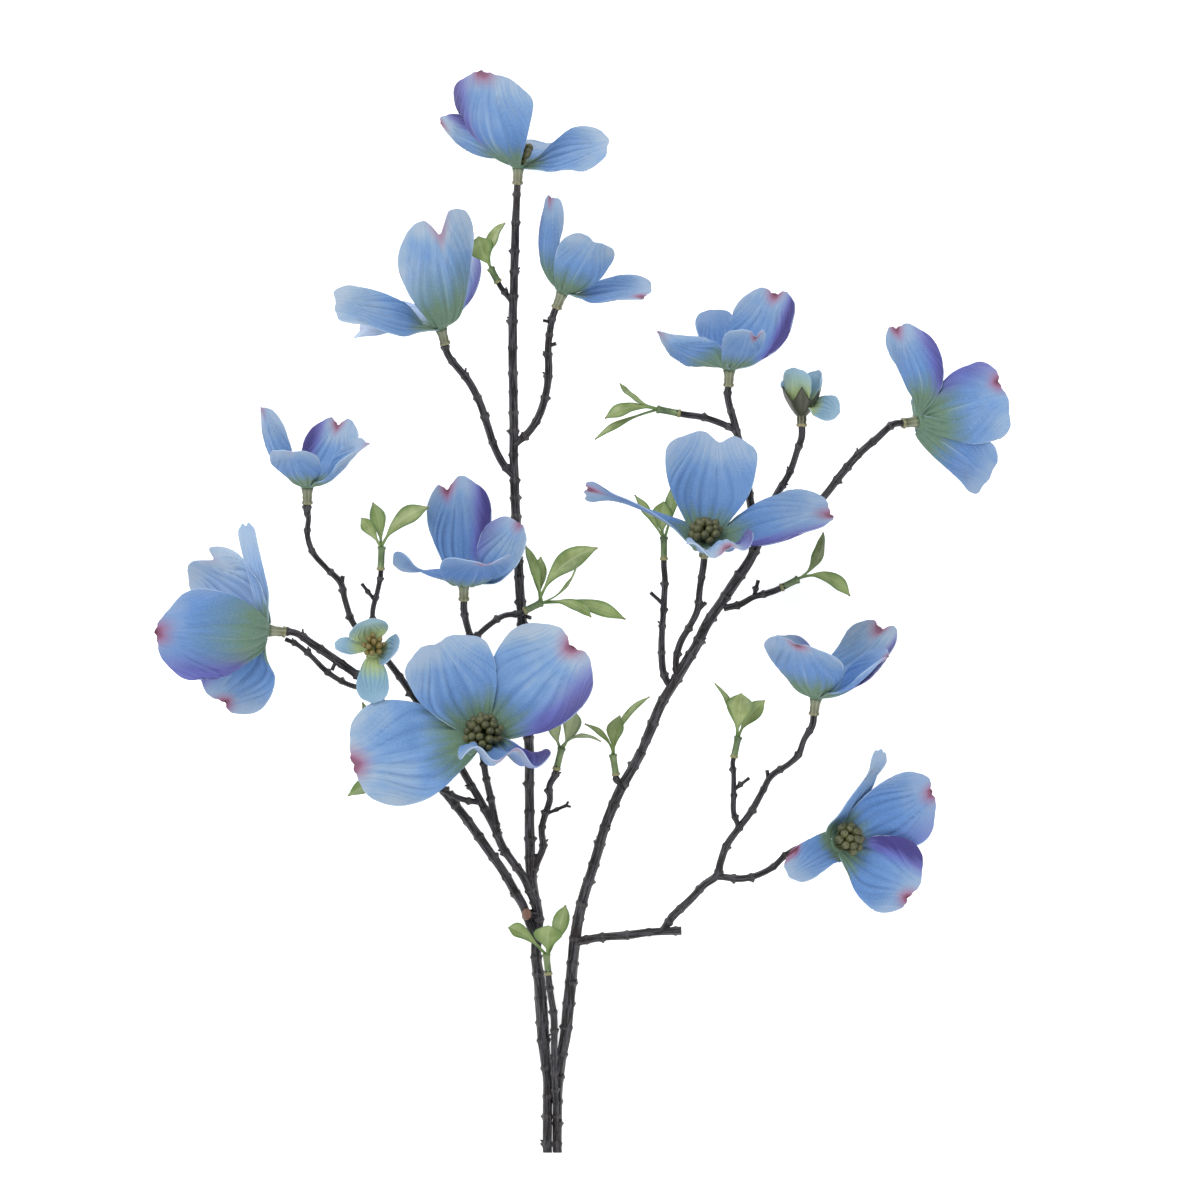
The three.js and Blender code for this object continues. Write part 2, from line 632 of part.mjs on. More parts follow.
        carries: "bloom_11",
        points: [
          [39.5, -137.5, 20.5, 1.9], [48.5, -129, 21.5, 1.8], [54, -123, 22.5, 1.8],
          [60, -118.5, 23.5, 1.9], [61.5, -112.5, 25, 1.7], [64, -105.5, 27, 1.7], [69.5, -97.5, 29, 1.6],
          [75.5, -89.5, 31, 1.6], [80.5, -80.5, 33, 1.5], [84, -74, 35, 1.5], [92.5, -68, 37.5, 1.4],
          [96.5, -64, 39, 1.5], [99, -57.5, 40, 1.4],
        ],
      },
      {
        carries: "bloom_12",
        points: [
          [60.5, -119, 23.5, 1.6], [71, -120, 23, 1.6], [78, -118.5, 22, 1.5], [85, -115, 21, 1.5],
          [91.5, -109, 20, 1.4], [98, -106, 19.5, 1.4],
        ],
      },
      {
        carries: "leaf_sprig_07",
        points: [[70, -97, 29, 1.3], [67.5, -90, 30.5, 1.3], [67.5, -81, 32.5, 1.3], [67.5, -73, 34, 1.2]],
      },
    ],
    stubs: [
      [[83, -75.5, 34.5], [82.5, -71, 35.5], 1],
      [[67.5, -80, 32.5], [74.5, -74.5, 34], 0.9],
    ],
  },
];

// ---------------------------------------------------------------- vectors

const vec = ([x, y, z]) => new THREE.Vector3(x, y, z);
const unit = (v) => v.clone().normalize();
const smooth = (x) => THREE.MathUtils.smoothstep(x, 0, 1);
const FLAT = 0.01; // a bend too small to see, which keeps the arc of a flat blade finite

// ---------------------------------------------------------------- solids

// Drops every attribute but position, welds the shared vertices and makes a solid of the mesh.
function solidOf(geometry) {
  const bare = new THREE.BufferGeometry();
  bare.setAttribute("position", geometry.getAttribute("position"));
  bare.setIndex(geometry.getIndex());
  const merged = mergeVertices(bare, 1e-4);
  const source = merged.getIndex().array;
  const triVerts = [];
  for (let i = 0; i < source.length; i += 3) {
    const [a, b, c] = [source[i], source[i + 1], source[i + 2]];
    if (a !== b && b !== c && c !== a) {
      triVerts.push(a, b, c);
    }
  }
  return new wasm.Manifold(
    new wasm.Mesh({
      numProp: 3,
      vertProperties: new Float32Array(merged.getAttribute("position").array),
      triVerts: new Uint32Array(triVerts),
    })
  );
}

// Joins solids into one.
const join = (solids) => solids.reduce((sum, solid) => sum.add(solid));

// The largest body of a solid, which drops any loose scrap that a cut leaves.
function largest(solid) {
  return solid.decompose().reduce((best, body) => (body.volume() > best.volume() ? body : best));
}

// The mesh of a solid, with its place built in.
function meshOf(name, solid, material) {
  const { vertProperties, triVerts } = solid.getMesh();
  const geometry = new THREE.BufferGeometry();
  geometry.setAttribute("position", new THREE.BufferAttribute(vertProperties, 3));
  geometry.setIndex(new THREE.BufferAttribute(triVerts, 1));
  geometry.computeVertexNormals();
  const mesh = new THREE.Mesh(geometry, material);
  mesh.name = name;
  return mesh;
}

// A geometry from plain lists of coordinates and corner numbers.
function geometryOf(positions, index) {
  const geometry = new THREE.BufferGeometry();
  geometry.setAttribute("position", new THREE.Float32BufferAttribute(positions, 3));
  geometry.setIndex(index);
  return geometry;
}

// A solid blade from a grid of points on its middle surface, grid[row][column]. Both faces are
// split along the same diagonals, so they stay apart however the blade waves.
function bladeSolid(grid, thickness) {
  const rows = grid.length;
  const columns = grid[0].length;
  const near = (i, last) => THREE.MathUtils.clamp(i, 0, last);
  const at = (i, j) => grid[near(i, rows - 1)][near(j, columns - 1)];
  const positions = [];
  for (const side of [0.5, -0.5]) {
    for (let i = 0; i < rows; i += 1) {
      for (let j = 0; j < columns; j += 1) {
        const across = at(i, j + 1).clone().sub(at(i, j - 1));
        const along = at(i + 1, j).clone().sub(at(i - 1, j));
        const normal = along.cross(across).normalize();
        positions.push(...grid[i][j].clone().addScaledVector(normal, -side * thickness).toArray());
      }
    }
  }
  const index = [];
  const top = (i, j) => i * columns + j;
  const under = (i, j) => rows * columns + top(i, j);
  for (let i = 0; i < rows - 1; i += 1) {
    for (let j = 0; j < columns - 1; j += 1) {
      index.push(top(i, j), top(i, j + 1), top(i + 1, j + 1), top(i, j), top(i + 1, j + 1), top(i + 1, j));
      index.push(under(i, j), under(i + 1, j + 1), under(i, j + 1));
      index.push(under(i, j), under(i + 1, j), under(i + 1, j + 1));
    }
  }
  const rim = [];
  for (let j = 0; j < columns - 1; j += 1) {
    rim.push([0, j]);
  }
  for (let i = 0; i < rows - 1; i += 1) {
    rim.push([i, columns - 1]);
  }
  for (let j = columns - 1; j > 0; j -= 1) {
    rim.push([rows - 1, j]);
  }
  for (let i = rows - 1; i > 0; i -= 1) {
    rim.push([i, 0]);
  }
  rim.forEach(([i, j], k) => {
    const [m, n] = rim[(k + 1) % rim.length];
    index.push(top(i, j), under(i, j), under(m, n), top(i, j), under(m, n), top(m, n));
  });
  return solidOf(geometryOf(positions, index));
}

// A tube of changing radius through [x, y, z, radius] points, with flat ends.
function tubeSolid(points, sides, step, extra = 0) {
  const curve = new THREE.CatmullRomCurve3(points.map(vec), false, "centripetal");
  const rings = Math.max(1, Math.round(curve.getLength() / step));
  const frames = curve.computeFrenetFrames(rings, false);
  const positions = [];
  for (let i = 0; i <= rings; i += 1) {
    const middle = curve.getPointAt(i / rings);
    const place = curve.getUtoTmapping(i / rings) * (points.length - 1);
    const k = Math.min(Math.floor(place), points.length - 2);
    const radius = THREE.MathUtils.lerp(points[k][3], points[k + 1][3], place - k) + extra;
    for (let j = 0; j < sides; j += 1) {
      const angle = (2 * Math.PI * j) / sides;
      const point = middle.clone().addScaledVector(frames.normals[i], radius * Math.cos(angle));
      positions.push(...point.addScaledVector(frames.binormals[i], radius * Math.sin(angle)).toArray());
    }
  }
  const index = [];
  for (let i = 0; i < rings; i += 1) {
    for (let j = 0; j < sides; j += 1) {
      const a = i * sides + j;
      const b = i * sides + ((j + 1) % sides);
      index.push(a, b, b + sides, a, b + sides, a + sides);
    }
  }
  const end = rings * sides;
  for (let j = 1; j < sides - 1; j += 1) {
    index.push(0, j + 1, j, end, end + j, end + j + 1);
  }
  return solidOf(geometryOf(positions, index));
}

// A turned solid: [radius, height] points, from low to high, along the axis from a base point.
function turnedSolid(profile, sides, base, axis) {
  const points = profile.map(([radius, height]) => new THREE.Vector2(radius, height));
  const geometry = new THREE.LatheGeometry(points, sides);
  geometry.applyQuaternion(new THREE.Quaternion().setFromUnitVectors(new THREE.Vector3(0, 1, 0), axis));
  geometry.translate(base.x, base.y, base.z);
  return solidOf(geometry);
}

// The part of a solid above the table, so that what reaches the table lies flat on it.
const TABLE_SOLID = solidOf(
  new THREE.BoxGeometry(TABLE.size, TABLE.size, TABLE.depth).translate(0, 0, -TABLE.depth / 2)
);
const aboveTable = (solid) => solid.subtract(TABLE_SOLID);

// ---------------------------------------------------------------- petals

// The point of a petal's middle surface at u (-1 to 1 across) and v (0 to 1 along).
function petalPoint(hub, axis, petal, u, v) {
  const { tip, width, rise, roll = 0, twist = 0, cup = 0.5, notch = 0.05, sway = 0, wave = 0 } = petal;
  const { neck = PETAL.neck, fullest = PETAL.fullest, taper = 0 } = petal;
  const reach = vec(tip);
  const height = reach.dot(axis);
  const radial = unit(reach.clone().addScaledVector(axis, -height));
  const sideways = axis.clone().cross(radial);

  const round = Math.sqrt(1 - Math.min(Math.abs(u), 1) ** PETAL.squareness);
  const edge = PETAL.shoulder + (1 - PETAL.shoulder) * round;
  const s = v * (edge - notch * Math.exp(-((u / PETAL.notchWidth) ** 2)));

  const [start, end] = rise.map(THREE.MathUtils.degToRad);
  const handle = PETAL.lean * reach.length();
  const rib = new THREE.CubicBezierCurve(
    new THREE.Vector2(PETAL.root, 0),
    new THREE.Vector2(PETAL.root + handle * Math.cos(start), handle * Math.sin(start)),
    new THREE.Vector2(reach.dot(radial) - handle * Math.cos(end), height - handle * Math.sin(end)),
    new THREE.Vector2(reach.dot(radial), height)
  );
  const place = rib.getPoint(s);
  const slope = rib.getTangent(s).angle();
  const up = axis.clone().multiplyScalar(Math.cos(slope)).addScaledVector(radial, -Math.sin(slope));

  const turn = THREE.MathUtils.degToRad(roll * smooth(s / PETAL.rollBy) + twist * s * s);
  const across = sideways.clone().multiplyScalar(Math.cos(turn)).addScaledVector(up, Math.sin(turn));
  const normal = up.clone().multiplyScalar(Math.cos(turn)).addScaledVector(sideways, -Math.sin(turn));

  const swell = Math.sin((Math.PI / 2) * Math.min(s / fullest, 1) ** PETAL.swell);
  const half = (width / 2) * (neck + (1 - neck) * swell) * (1 - taper * s);
  const bend = Math.max(cup * (1 - PETAL.cupFade * s) * smooth(s / PETAL.cupBy), FLAT);
  const ripple = wave * u * u * Math.sin(PETAL.ripples * s + PETAL.rippleShift * Math.sign(u));

  return hub
    .clone()
    .addScaledVector(radial, place.x)
    .addScaledVector(axis, place.y)
    .addScaledVector(sideways, sway * Math.sin(Math.PI * s))
    .addScaledVector(across, (half * Math.sin(bend * u)) / bend)
    .addScaledVector(normal, (half * (1 - Math.cos(bend * u))) / bend + ripple);
}

function petalSolid(hub, axis, petal) {
  const grid = [];
  for (let i = 0; i <= PETAL.rows; i += 1) {
    const v = (i / PETAL.rows) ** PETAL.spacing;
    const row = [];
    for (let j = 0; j <= PETAL.columns; j += 1) {
      row.push(petalPoint(hub, axis, petal, (2 * j) / PETAL.columns - 1, v));
    }
    grid.push(row);
  }
  return bladeSolid(grid, PETAL.thickness);
}

// The four petals of a bloom and the disc that joins them, which is one piece of cloth.
function petalsSolid(bloom) {
  const hub = vec(bloom.hub);
  const axis = unit(vec(bloom.axis));
  const profile = [[0, -HUB.half], [HUB.foot, -HUB.half], [HUB.radius, HUB.half], [0, HUB.half]];
  const disc = turnedSolid(profile, HUB.sides, hub, axis);
  return largest(aboveTable(join([disc, ...bloom.petals.map((petal) => petalSolid(hub, axis, petal))])));
}

// ---------------------------------------------------------------- bead clusters and collars

// A corner of the icosahedron that a bead is made of, which is turned into the core.
const BEAD_CORNER = unit(new THREE.Vector3(0, 1, (1 + Math.sqrt(5)) / 2));

// A pin that carries a domed core with beads set over it in a spiral.
function beadsSolid({ hub, axis: direction, beads }) {
  const axis = unit(vec(direction));
  const { count, radius, height } = beads;
  const base = vec(hub);
  const foot = HUB.half + CLEARANCE;
  const pinProfile = [[0, foot], [PIN.radius, foot], [PIN.radius, height], [0, height]];
  const pin = turnedSolid(pinProfile, PIN.sides, base, axis);
  const inner = radius - BEAD.sunk;
  const shoulder = inner * Math.SQRT1_2;
  const coreProfile = [
    [0, height - BEAD.coreFoot], [inner, height],
    [shoulder, height + BEAD.dome * shoulder], [0, height + BEAD.dome * inner],
  ];
  const core = turnedSolid(coreProfile, BEAD.coreSides, base, axis);
  const turn = new THREE.Quaternion().setFromUnitVectors(new THREE.Vector3(0, 0, 1), axis);
  const spheres = [];
  for (let k = 0; k < count; k += 1) {
    const tilt = Math.acos(1 - (k + 0.5) / count);
    const place = new THREE.Vector3().setFromSphericalCoords(radius, tilt, k * GOLDEN_ANGLE);
    const centre = new THREE.Vector3(place.x, place.z, place.y * BEAD.dome).applyQuaternion(turn);
    const bead = new THREE.IcosahedronGeometry(BEAD.radius, 0);
    bead.applyQuaternion(new THREE.Quaternion().setFromUnitVectors(BEAD_CORNER, unit(centre).negate()));
    centre.addScaledVector(axis, height).add(base);
    spheres.push(solidOf(bead.translate(centre.x, centre.y, centre.z)));
  }
  return largest(join([pin, core, ...spheres]));
}

// The moulded collar under a bloom, from its lip at the twig to its mouth at the petals.
function collarSolid({ hub, axis: direction }) {
  const axis = unit(vec(direction));
  const mouth = -HUB.half - CLEARANCE;
  const lip = mouth - COLLAR.length;
  const profile = [
    [0, lip], [COLLAR.endRadius, lip], [COLLAR.lipRadius, lip + COLLAR.lip],
    [COLLAR.waistRadius, mouth - COLLAR.waist], [COLLAR.mouthRadius, mouth], [0, mouth],
  ];
  return turnedSolid(profile, COLLAR.sides, vec(hub), axis);
}

// Where the twig that carries a bloom ends, just below the collar's lip.
function twigEndOf({ hub, axis }, back = 0) {
  const below = HUB.half + COLLAR.length + 2 * CLEARANCE + back;
  return vec(hub).addScaledVector(unit(vec(axis)), -below);
}

// ---------------------------------------------------------------- leaf sprigs

// A leaf: a narrow stalk that widens into a pointed blade, folded a little along its rib. The rib's
// handle stands off twice the bow, since the rib itself passes half way to it.
function leafSolid(start, { tip, bow, face, width }) {
  const reach = vec(tip);
  const root = start.clone().addScaledVector(unit(reach), -LEAF.sunk);
  const end = start.clone().add(reach);
  const middle = root.clone().lerp(end, 0.5).addScaledVector(vec(bow), 2);
  const rib = new THREE.QuadraticBezierCurve3(root, middle, end);
  const grid = [];
  for (let i = 0; i <= LEAF.rows; i += 1) {
    const s = i / LEAF.rows;
    const along = rib.getTangent(s);
    const up = vec(face).addScaledVector(along, -vec(face).dot(along)).normalize();
    const across = up.clone().cross(along);
    const blade = Math.sin(Math.PI * Math.max((s - LEAF.stalkEnd) / (1 - LEAF.stalkEnd), 0));
    const half = Math.max(LEAF.stalk * (1 - LEAF.stalkTaper * s), (width / 2) * blade);
    const row = [];
    for (let j = 0; j <= LEAF.columns; j += 1) {
      const u = (2 * j) / LEAF.columns - 1;
      const point = rib.getPoint(s).addScaledVector(across, u * half);
      row.push(point.addScaledVector(up, LEAF.fold * Math.abs(u) * half));
    }
    grid.push(row);
  }
  return bladeSolid(grid, LEAF.thickness);
}

// A sprig: its leaves and the green sleeve that they share. Each leaf springs from its own side of
// the sleeve's mouth.
function sprigSolid({ base, top, leaves }) {
  const sleeve = tubeSolid([[...base, SLEEVE.base], [...top, SLEEVE.top]], SLEEVE.sides, STRAIGHT);
  const along = unit(vec(top).sub(vec(base)));
  const blades = leaves.map((leaf) => {
    const aside = vec(leaf.tip).projectOnPlane(along).normalize();
    return leafSolid(vec(top).addScaledVector(aside, LEAF.spread), leaf);
  });
  return largest(join([sleeve, ...blades]));
}

// Where the twig that carries a sprig ends, just below its sleeve.
function sprigSeatOf({ base, top }, back = 0) {
  const direction = unit(vec(top).sub(vec(base)));
  return vec(base).addScaledVector(direction, -CLEARANCE - back);
}

// ---------------------------------------------------------------- stems

const CARRIED = new Map([...BLOOMS, ...SMALL_BLOOMS, ...SPRIGS].map((piece) => [piece.name, piece]));

// A route's points, run on to the bloom or sprig that it carries.
function routeOf({ points, carries }) {
  const piece = CARRIED.get(carries);
  if (!piece) {
    return points;
  }
  const [seatOf, lead] = piece.hub ? [twigEndOf, TWIG.lead] : [sprigSeatOf, TWIG.lead / 2];
  const radius = piece.hub ? TWIG.seatRadius : points.at(-1)[3];
  return [...points, [...seatOf(piece, lead).toArray(), radius], [...seatOf(piece).toArray(), radius]];
}

// A stem with its twigs and stubs. Made thicker by extra, it is the space that the stem needs round
// it, which is cut from a piece that butts against it.
function stemSolid({ routes, stubs }, extra = 0) {
  const tubes = routes.map((route) => tubeSolid(routeOf(route), TWIG.sides, TWIG.step, extra));
  const shoots = stubs.map(([from, to, radius]) =>
    tubeSolid([[...from, radius], [...to, radius * TWIG.stubTaper]], TWIG.sides, STRAIGHT, extra)
  );
  return join([...tubes, ...shoots]);
}

// ---------------------------------------------------------------- assembly

const branch = new THREE.Group();
branch.name = "dogwood_branch";

function addBloom(bloom, petalMaterial, collarMaterial) {
  branch.add(meshOf(`${bloom.name}_petals`, petalsSolid(bloom), petalMaterial));
  branch.add(meshOf(`${bloom.name}_beads`, beadsSolid(bloom), MATERIALS.beads));
  branch.add(meshOf(`${bloom.name}_collar`, collarSolid(bloom), collarMaterial));
}

for (const bloom of BLOOMS) {
  addBloom(bloom, MATERIALS.petal, MATERIALS.collar);
}
for (const bloom of SMALL_BLOOMS) {
  addBloom(bloom, MATERIALS.smallPetal, MATERIALS.calyx);
}
for (const sprig of SPRIGS) {
  branch.add(meshOf(sprig.name, sprigSolid(sprig), MATERIALS.leaf));
}
for (const stem of STEMS) {
  const support = STEMS.find(({ name }) => name === stem.butts);
  const whole = aboveTable(stemSolid(stem));
  const solid = support ? whole.subtract(stemSolid(support, TWIG.space)) : whole;
  branch.add(meshOf(stem.name, largest(solid), MATERIALS.bark));
}

// Centre the spray over the origin, with the table at z = 0.
const box = new THREE.Box3().setFromObject(branch);
const middle = box.getCenter(new THREE.Vector3());
branch.position.set(-middle.x, -middle.y, 0);

export default branch;
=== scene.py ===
"""Dogwood flower branch: the looks of an artificial spray that lies on a pale floor.

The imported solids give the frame. Each is replaced by a finer piece made from the same dimensions:
cloth petals with pressed ribs, bead clusters, moulded collars, plastic leaf sprigs and knobbly stems.
Lengths are millimetres until a piece is built, and +Z is up.
"""

import math
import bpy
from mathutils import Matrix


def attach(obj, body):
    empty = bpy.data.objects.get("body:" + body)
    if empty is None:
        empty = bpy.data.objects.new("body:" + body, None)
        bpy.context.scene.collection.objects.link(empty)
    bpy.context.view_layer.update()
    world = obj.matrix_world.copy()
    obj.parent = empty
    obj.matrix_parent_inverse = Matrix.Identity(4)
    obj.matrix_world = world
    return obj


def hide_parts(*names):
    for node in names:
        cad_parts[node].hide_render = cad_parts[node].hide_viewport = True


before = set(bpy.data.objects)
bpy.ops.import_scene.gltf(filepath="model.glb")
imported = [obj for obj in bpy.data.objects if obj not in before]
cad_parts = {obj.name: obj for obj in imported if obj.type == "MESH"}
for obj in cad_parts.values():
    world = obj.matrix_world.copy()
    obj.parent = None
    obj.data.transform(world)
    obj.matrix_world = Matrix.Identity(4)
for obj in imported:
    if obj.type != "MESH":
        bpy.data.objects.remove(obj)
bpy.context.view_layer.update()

from types import SimpleNamespace as Record

import bpy
import numpy as np

MM = 0.001
ORIGIN = np.array([-0.1538, -1.0805, 0])  # the measures' own origin, in the frame

# ---- driving dimensions

PETAL = Record(
    thickness=0.5, lowest=0.3, rows=32, columns=50, crowding=0.9, usual_width=35, root=2, lean=0.36,
    swell=0.9, cup_by=0.25, cup_fade=0.3, roll_by=0.35, flare_from=0.75, ripples=9, ripple_shift=2,
)
PLEAT = Record(  # pressed ribs, and the groove of the midrib
    height=0.5, count=2.6, gather=0.72, start=0.3, full_by=0.15, fade_from=0.7, fade_to=0.97,
    wander=0.5, wander_turns=4, second=0.5, second_pace=1.7, midrib=0.8, midrib_width=0.05,
)
FLUTTER = Record(height=0.55, turns=7, full_by=0.3)  # loose waves of a petal's edges
TIP_CURL = Record(height=1.0, start=0.8, turns=3)
RAGGED = Record(coarse=0.009, coarse_waves=9, fine=0.0015, fine_waves=31, torn=6)  # the rim, as shares
PINCH = Record(height=1.2, width=0.2, start=0.84, only_past=0.96)  # gathered spot at the tip's notch
NOTCH = Record(depth=0.6, width=0.2)
RUFFLE_BY = 0.6  # along a petal, where its ruffle is full
HEM_WIDTH = 0.12
HALO = Record(strength=0.68, width=0.26, height=0.11)  # soft red round the notch
RIM = Record(start=0.075, full=0.005, speckle=0.25, speckles=23)  # dark red at the notch's edge
VIOLET = Record(aside=0.2, start=0.15, full=0.45)  # the darker side of a petal
HUB = Record(radius=4.4, foot=2.6, half=0.9, sides=24)
COLLAR = Record(
    length=7.5, mouth=2.8, waist=2.15, waist_at=3, lip=2.5, lip_height=1.3, end=2.1, sides=32,
    ribs=8, rib_height=0.05,
)
BEAD = Record(
    radius=1.95, size=(0.9, 1.08), rings=9, sides=12, taper=0.12, stalk=0.6, stalk_sides=6,
    dome=0.75, uneven=0.05, bob=0.3, outward=0.7, toss=0.25,
)
CLUSTER = dict(count=7, radius=3, height=5, size=1, stretch=1.3, gold=0)  # of a bloom seen from the side
GOLDEN_ANGLE = math.pi * (3 - math.sqrt(5))
SLANT = [0.3, 0.2, 0.9]  # where rings and clusters start is worked out from this direction
CLEARANCE = 0.3
TWIG = Record(  # knots fade away within end of either end, and nothing goes below lowest
    stout=1.05, slim=0.12, sides=16, step=0.65, lead=4, seat_radius=1.6, stub_taper=0.85, sunk=2.5,
    end=2.5, lowest=0.02, grain=0.04,
)
GROOVES = ((0.05, 5, 0.12), (0.03, 3, -0.3))  # height, how many round a twig, and twist along it
PRONG = Record(length=2.2, spread=0.8, radius=0.7, least=9.5)  # at the end of a long side shoot
KNOT = Record(
    first=0.6, last=2, gap=(7, 13), height=(0.3, 0.7), width=0.5, run_up=2.4, bud=(0, 1.0), bud_width=0.4,
)
CUT = Record(least=1.8, proud=0.8, sides=16)  # a pruned shoot shows its brown end
SPUR = Record(share=0.25, length=(1.4, 2.6), radius=0.6, sides=8, root=0.7, outward=0.8, onward=0.6, rows=3)
LEAF = Record(
    thickness=0.45, rows=28, columns=10, stalk=0.65, stalk_taper=0.5, stalk_end=0.1,
    fold=0.26, fold_power=1.3, wave=0.25, waves=11, wave_most=3, sunk=1.5, spread=0.7, late=1.6, blunt=1.1,
)
CUP = Record(lobes=5, sides=60, rows=8, thickness=0.6)  # of a calyx
SLEEVE = Record(base=1.9, top=1.5, mouth=2.0, sides=20)

# ---- vectors and curves


def unit(v):
    v = np.asarray(v, float)
    return v / np.linalg.norm(v)


def units(rows):
    return rows / np.linalg.norm(rows, axis=1)[:, None]


def smooth(x, start, end):
    """0 up to the start, 1 from the end, and a smooth step between them."""
    x = np.clip((x - start) / (end - start), 0, 1)
    return x * x * (3 - 2 * x)


def bell(x, width):
    return np.exp(-((x / width) ** 2))


def chosen(value, otherwise):
    return otherwise if value is None else value


def turned(v, axis, angle):
    """Vectors turned about unit axes by angles in radians."""
    angle = angle[..., None]
    level = axis * (axis * v).sum(-1, keepdims=True)
    return v * np.cos(angle) + np.cross(axis, v) * np.sin(angle) + level * (1 - np.cos(angle))


def spline(points, step):
    """Points about a step apart on the centripetal Catmull-Rom curve through [x, y, z, ...] points."""
    p = np.array(points, float)
    p = np.vstack([2 * p[0] - p[1], p, 2 * p[-1] - p[-2]])
    rows = []
    for a, b, c, d in zip(p, p[1:], p[2:], p[3:]):
        t0, t1, t2 = (math.sqrt(np.linalg.norm((n - m)[:3])) for m, n in ((a, b), (b, c), (c, d)))
        start = ((b - a) / t0 - (c - a) / (t0 + t1) + (c - b) / t1) * t1
        end = ((c - b) / t1 - (d - b) / (t1 + t2) + (d - c) / t2) * t1
        count = max(2, math.ceil(np.linalg.norm((c - b)[:3]) / step))
        t = (np.arange(count) / count)[:, None]
        rows.append(
            b + start * t + (3 * (c - b) - 2 * start - end) * t**2 + (2 * (b - c) + start + end) * t**3
        )
    return np.vstack([*rows, p[-2]])


def frames_along(path):
    """Unit tangent, normal and binormal at each point of a path, turning as little as they can."""
    tangents = units(np.gradient(path, axis=0))
    side = np.array([0, 0, 1.0]) if abs(tangents[0][2]) < 0.9 else np.array([1.0, 0, 0])
    normals = []
    for tangent in tangents:
        side = unit(side - tangent * (side @ tangent))
        normals.append(side)
    normals = np.array(normals)
    return tangents, normals, np.cross(tangents, normals)


def round_angles(sides):
    return 2 * np.pi * np.arange(sides) / sides


def spokes(angle, side, other):
    """Directions at each angle from one side towards another, for one pair of sides or a list of them."""
    return np.cos(angle)[:, None] * side[..., None, :] + np.sin(angle)[:, None] * other[..., None, :]


# ---- the spray's own measures
#
# A petal is given by its tip, measured from the hub, its width and its slope at root and tip in degrees.
# Its outline, as shares: neck (width of the root), fullest (where the width is full), shoulder (where the
# lobe starts to round off, by the power square), taper, flare, skew (one side longer) and notch.
# Its form: cup (radians), roll and twist (degrees), sway and wave (millimetres), curl of the tip, ruffle
# (height, turns, start) and hem (side, start, degrees).
# Its colours: blush (red), spot (where the notch and its red are, across and along), violet (strength,
# with the side as its sign), green (reach of the green root) and tone (deeper above 0, paler below; the
# paler tint is partly the cloth's own colour and partly painted light that lifts petals lying in shade).

PETAL_SHAPE = dict(
    neck=0.16, fullest=0.7, square=2.2, shoulder=0.7, taper=0, flare=0, skew=0, notch=0.05,
    cup=0.5, roll=0, twist=0, sway=0, wave=0, curl=0, ruffle=(0, 0, 0), hem=None,
    blush=1, spot=(0, 1), violet=0, green=0.22, tone=None,
)


def petal(tip, width, rise, **shape):
    return Record(tip=np.array(tip, float), width=width, rise=rise, **{**PETAL_SHAPE, **shape})


def bloom(name, hub, axis, petals, calyx=None, **cluster):
    """A bloom: the middle of the disc that joins its petals, where it looks, its petals and its beads."""
    hub, cluster = np.array(hub, float), Record(**{**CLUSTER, **cluster})
    return Record(name=name, hub=hub, axis=unit(axis), petals=petals, calyx=calyx, cluster=cluster)


def leaf(tip, bow, face, width):
    """A leaf: its tip from the sleeve's top, how its rib bows, where its face looks, and its width."""
    return Record(tip=np.array(tip, float), bow=np.array(bow, float), face=np.array(face), width=width)


def sprig(name, base, top, leaves, tone=None):
    """A sprig: both ends of its sleeve, and its leaves."""
    return Record(name=name, base=np.array(base), top=np.array(top), leaves=leaves, tone=tone)


def stem(name, twigs, stubs=()):
    """Each twig names what it carries and has [x, y, z, radius] points. A stub is [start, end, radius]."""
    return Record(name=name, twigs=twigs, stubs=stubs)


